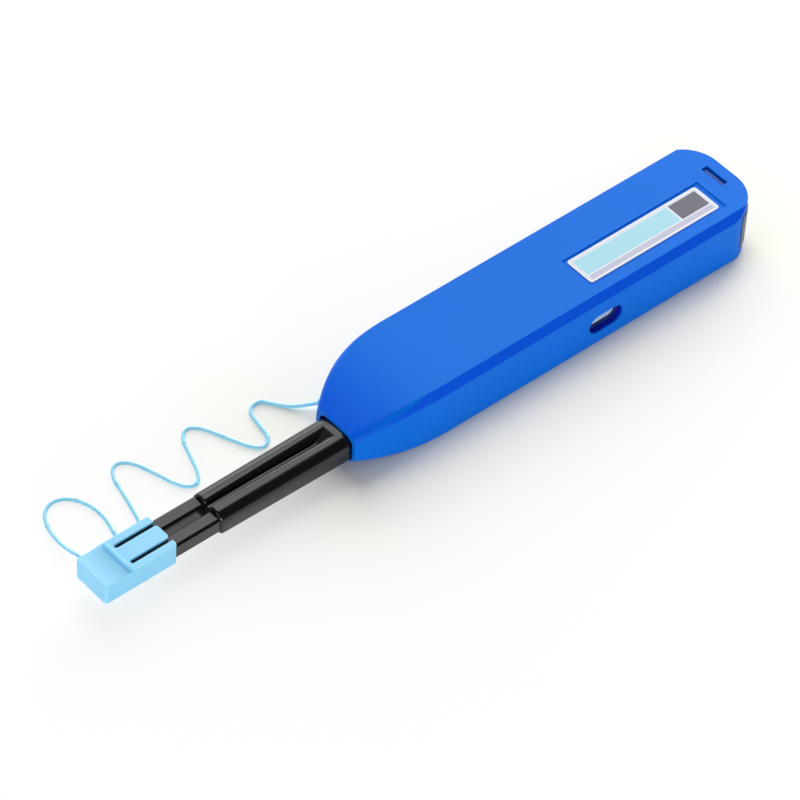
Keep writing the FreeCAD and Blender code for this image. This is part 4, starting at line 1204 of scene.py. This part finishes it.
# ================================================================ stage
@dataclass
class Studio:
    """Pale floor, soft lamps and the view.

    The floor's own light and its near tint are stage settings: they fade out and in beside the case.
    """

    target: Vector = field(default_factory=lambda: Vector((0.0085, 0.0042, 0.0080)))
    azimuth: float = 46.96
    elevation: float = 46.34
    roll: float = 3.40
    distance: float = 1.216
    lens: float = 220.5
    floor_half: float = 3.0
    floor_glow: float = 0.9
    case_spot: tuple[tuple[float, float], ...] = ((-0.0382, 0.0675), (0.0, 0.0146))
    fade: float = 0.016
    glow_strength: float = 1.03
    gloss_gain: float = 0.7
    floor_colour: Colour = (0.95, 0.95, 0.95)
    surround: float = 0.25
    surround_in_gloss: float = 0.07
    # Warm tint of the floor near the case, seen by the camera only: painted light that offsets the blue light bounced
    # off the case into its shadow.
    near_tint: Colour = (0.955, 0.94, 0.80)
    lamps: tuple[tuple[str, tuple[float, float, float], float, float, float], ...] = (
        ("key", (-0.80, -0.50, 0.35), 1.25, 0.75, 12.0), ("back", (-0.30, -0.85, 0.42), 1.25, 0.75, 5.0),
        ("top", (-0.28, -0.36, 0.89), 1.25, 0.75, 5.2), ("front", (0.95, 0.02, 0.22), 1.3, 0.5, 4.4),
        ("side", (0.36, 0.90, 0.15), 1.3, 0.5, 8.0))

    def build(self) -> None:
        """Make the floor, the lamps, the world and the camera."""
        self.floor()
        self.world()
        for lamp in self.lamps:
            self.lamp(*lamp)
        self.camera()

    def floor(self) -> None:
        """Pale matt floor; seen directly or in a gloss it has a little light of its own."""
        mesh = bpy.data.meshes.new("floor")
        half = self.floor_half
        mesh.from_pydata([(-half, -half, 0), (half, -half, 0), (half, half, 0), (-half, half, 0)], [], [(0, 1, 2, 3)])
        made = bpy.data.materials.new("floor_pale")
        made.use_nodes = True
        plan = Tree(made.node_tree)
        path = plan.add("ShaderNodeLightPath")
        seen = plan.maths("MAXIMUM", plan.maths("MAXIMUM", path.outputs["Is Camera Ray"],
                                                path.outputs["Is Glossy Ray"]),
                          path.outputs["Is Transmission Ray"])
        place = plan.add("ShaderNodeSeparateXYZ", {0: plan.add("ShaderNodeTexCoord").outputs["Object"]})
        away = []
        for index, (middle, half) in enumerate(self.case_spot):
            off = plan.maths("ABSOLUTE", plan.maths("SUBTRACT", place.outputs[index], middle))
            away.append(plan.maths("POWER", plan.maths("MAXIMUM", plan.maths("SUBTRACT", off, half), 0.0), 2.0))
        distance = plan.maths("SQRT", plan.maths("ADD", *away))
        own = plan.maths("MULTIPLY", self.floor_glow, plan.maths("DIVIDE", distance, plan.maths(
            "ADD", distance, self.fade)))
        in_gloss = plan.maths("ADD", 1.0, plan.maths("MULTIPLY", path.outputs["Is Glossy Ray"], self.gloss_gain))
        plain = plan.maths("MAXIMUM", own, plan.maths("SUBTRACT", 1.0, path.outputs["Is Camera Ray"]))
        # Painted light: near the case the camera sees the floor in the warm tint, which cancels the blue bounce in the
        # shadow.
        paint = plan.mixed(plain, rgba(self.near_tint), rgba(self.floor_colour))
        matt = plan.add("ShaderNodeBsdfDiffuse", {"Color": paint})
        glow = plan.add("ShaderNodeEmission", {"Color": (1.0, 1.0, 1.0, 1.0), "Strength": self.glow_strength})
        both = plan.add("ShaderNodeMixShader", {
            0: plan.maths("MULTIPLY", seen, plan.maths("MULTIPLY", own, in_gloss), clamp=True),
            1: matt.outputs[0], 2: glow.outputs[0]})
        plan.add("ShaderNodeOutputMaterial", {"Surface": both.outputs[0]})
        piece_from("floor", mesh, made)

    def world(self) -> None:
        """Even, low surrounding light."""
        made = bpy.data.worlds.new("surround")
        made.use_nodes = True
        plan = Tree(made.node_tree)
        glossy = plan.add("ShaderNodeLightPath").outputs["Is Glossy Ray"]
        strength = plan.ranged(glossy, 0.0, 1.0, self.surround, self.surround_in_gloss)
        ground = plan.add("ShaderNodeBackground", {"Color": (1.0, 1.0, 1.0, 1.0), "Strength": strength})
        plan.add("ShaderNodeOutputWorld", {"Surface": ground.outputs[0]})
        bpy.context.scene.world = made

    def lamp(self, name: str, direction: Sequence[float], distance: float, size: float, power: float) -> None:
        """A square soft lamp that faces the pen.

        Args:
            name: The lamp's name.
            direction: From the pen toward the lamp.
            distance: From the pen, in metres.
            size: Side of the square, in metres.
            power: In watts.
        """
        data = bpy.data.lights.new(name, "AREA")
        data.shape = "SQUARE"
        data.size = size
        data.energy = power
        made = bpy.data.objects.new(name, data)
        toward = Vector(direction).normalized()
        made.location = self.target + toward * distance
        made.rotation_euler = toward.to_track_quat("Z", "Y").to_euler()
        bpy.context.collection.objects.link(made)

    def camera(self) -> None:
        """The view, turned about its own axis by the roll."""
        data = bpy.data.cameras.new("view")
        data.lens = self.lens
        data.sensor_width = 36.0
        data.clip_end = 10.0
        made = bpy.data.objects.new("view", data)
        around, above, roll = (math.radians(a) for a in (self.azimuth, self.elevation, self.roll))
        back = Vector((math.cos(around) * math.cos(above), math.sin(around) * math.cos(above), math.sin(above)))
        right = (-back).cross(Vector((0, 0, 1))).normalized()
        up = back.cross(right)
        right, up = (right * math.cos(roll) + up * math.sin(roll), up * math.cos(roll) - right * math.sin(roll))
        turn = Matrix((right, up, back)).transposed().to_4x4()
        made.matrix_world = Matrix.Translation(self.target + back * self.distance) @ turn
        bpy.context.collection.objects.link(made)
        bpy.context.scene.camera = made


def main() -> None:
    """Load the frame and build every sub-assembly."""
    logging.basicConfig(level=logging.INFO, format="%(name)s: %(message)s")
    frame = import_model()
    bpy.context.scene.view_settings.view_transform = "Standard"
    finishes = Finishes(SharedEffects())
    pen = PenFrame(frame, finishes)
    Studio().build()
    Tether(pen).build()
    OuterCase(pen).build()
    Mechanism(pen, coil_tree()).build()
    Nozzle(pen).build()
    TipCap(pen).build()


if __name__ == "__main__":
    main()
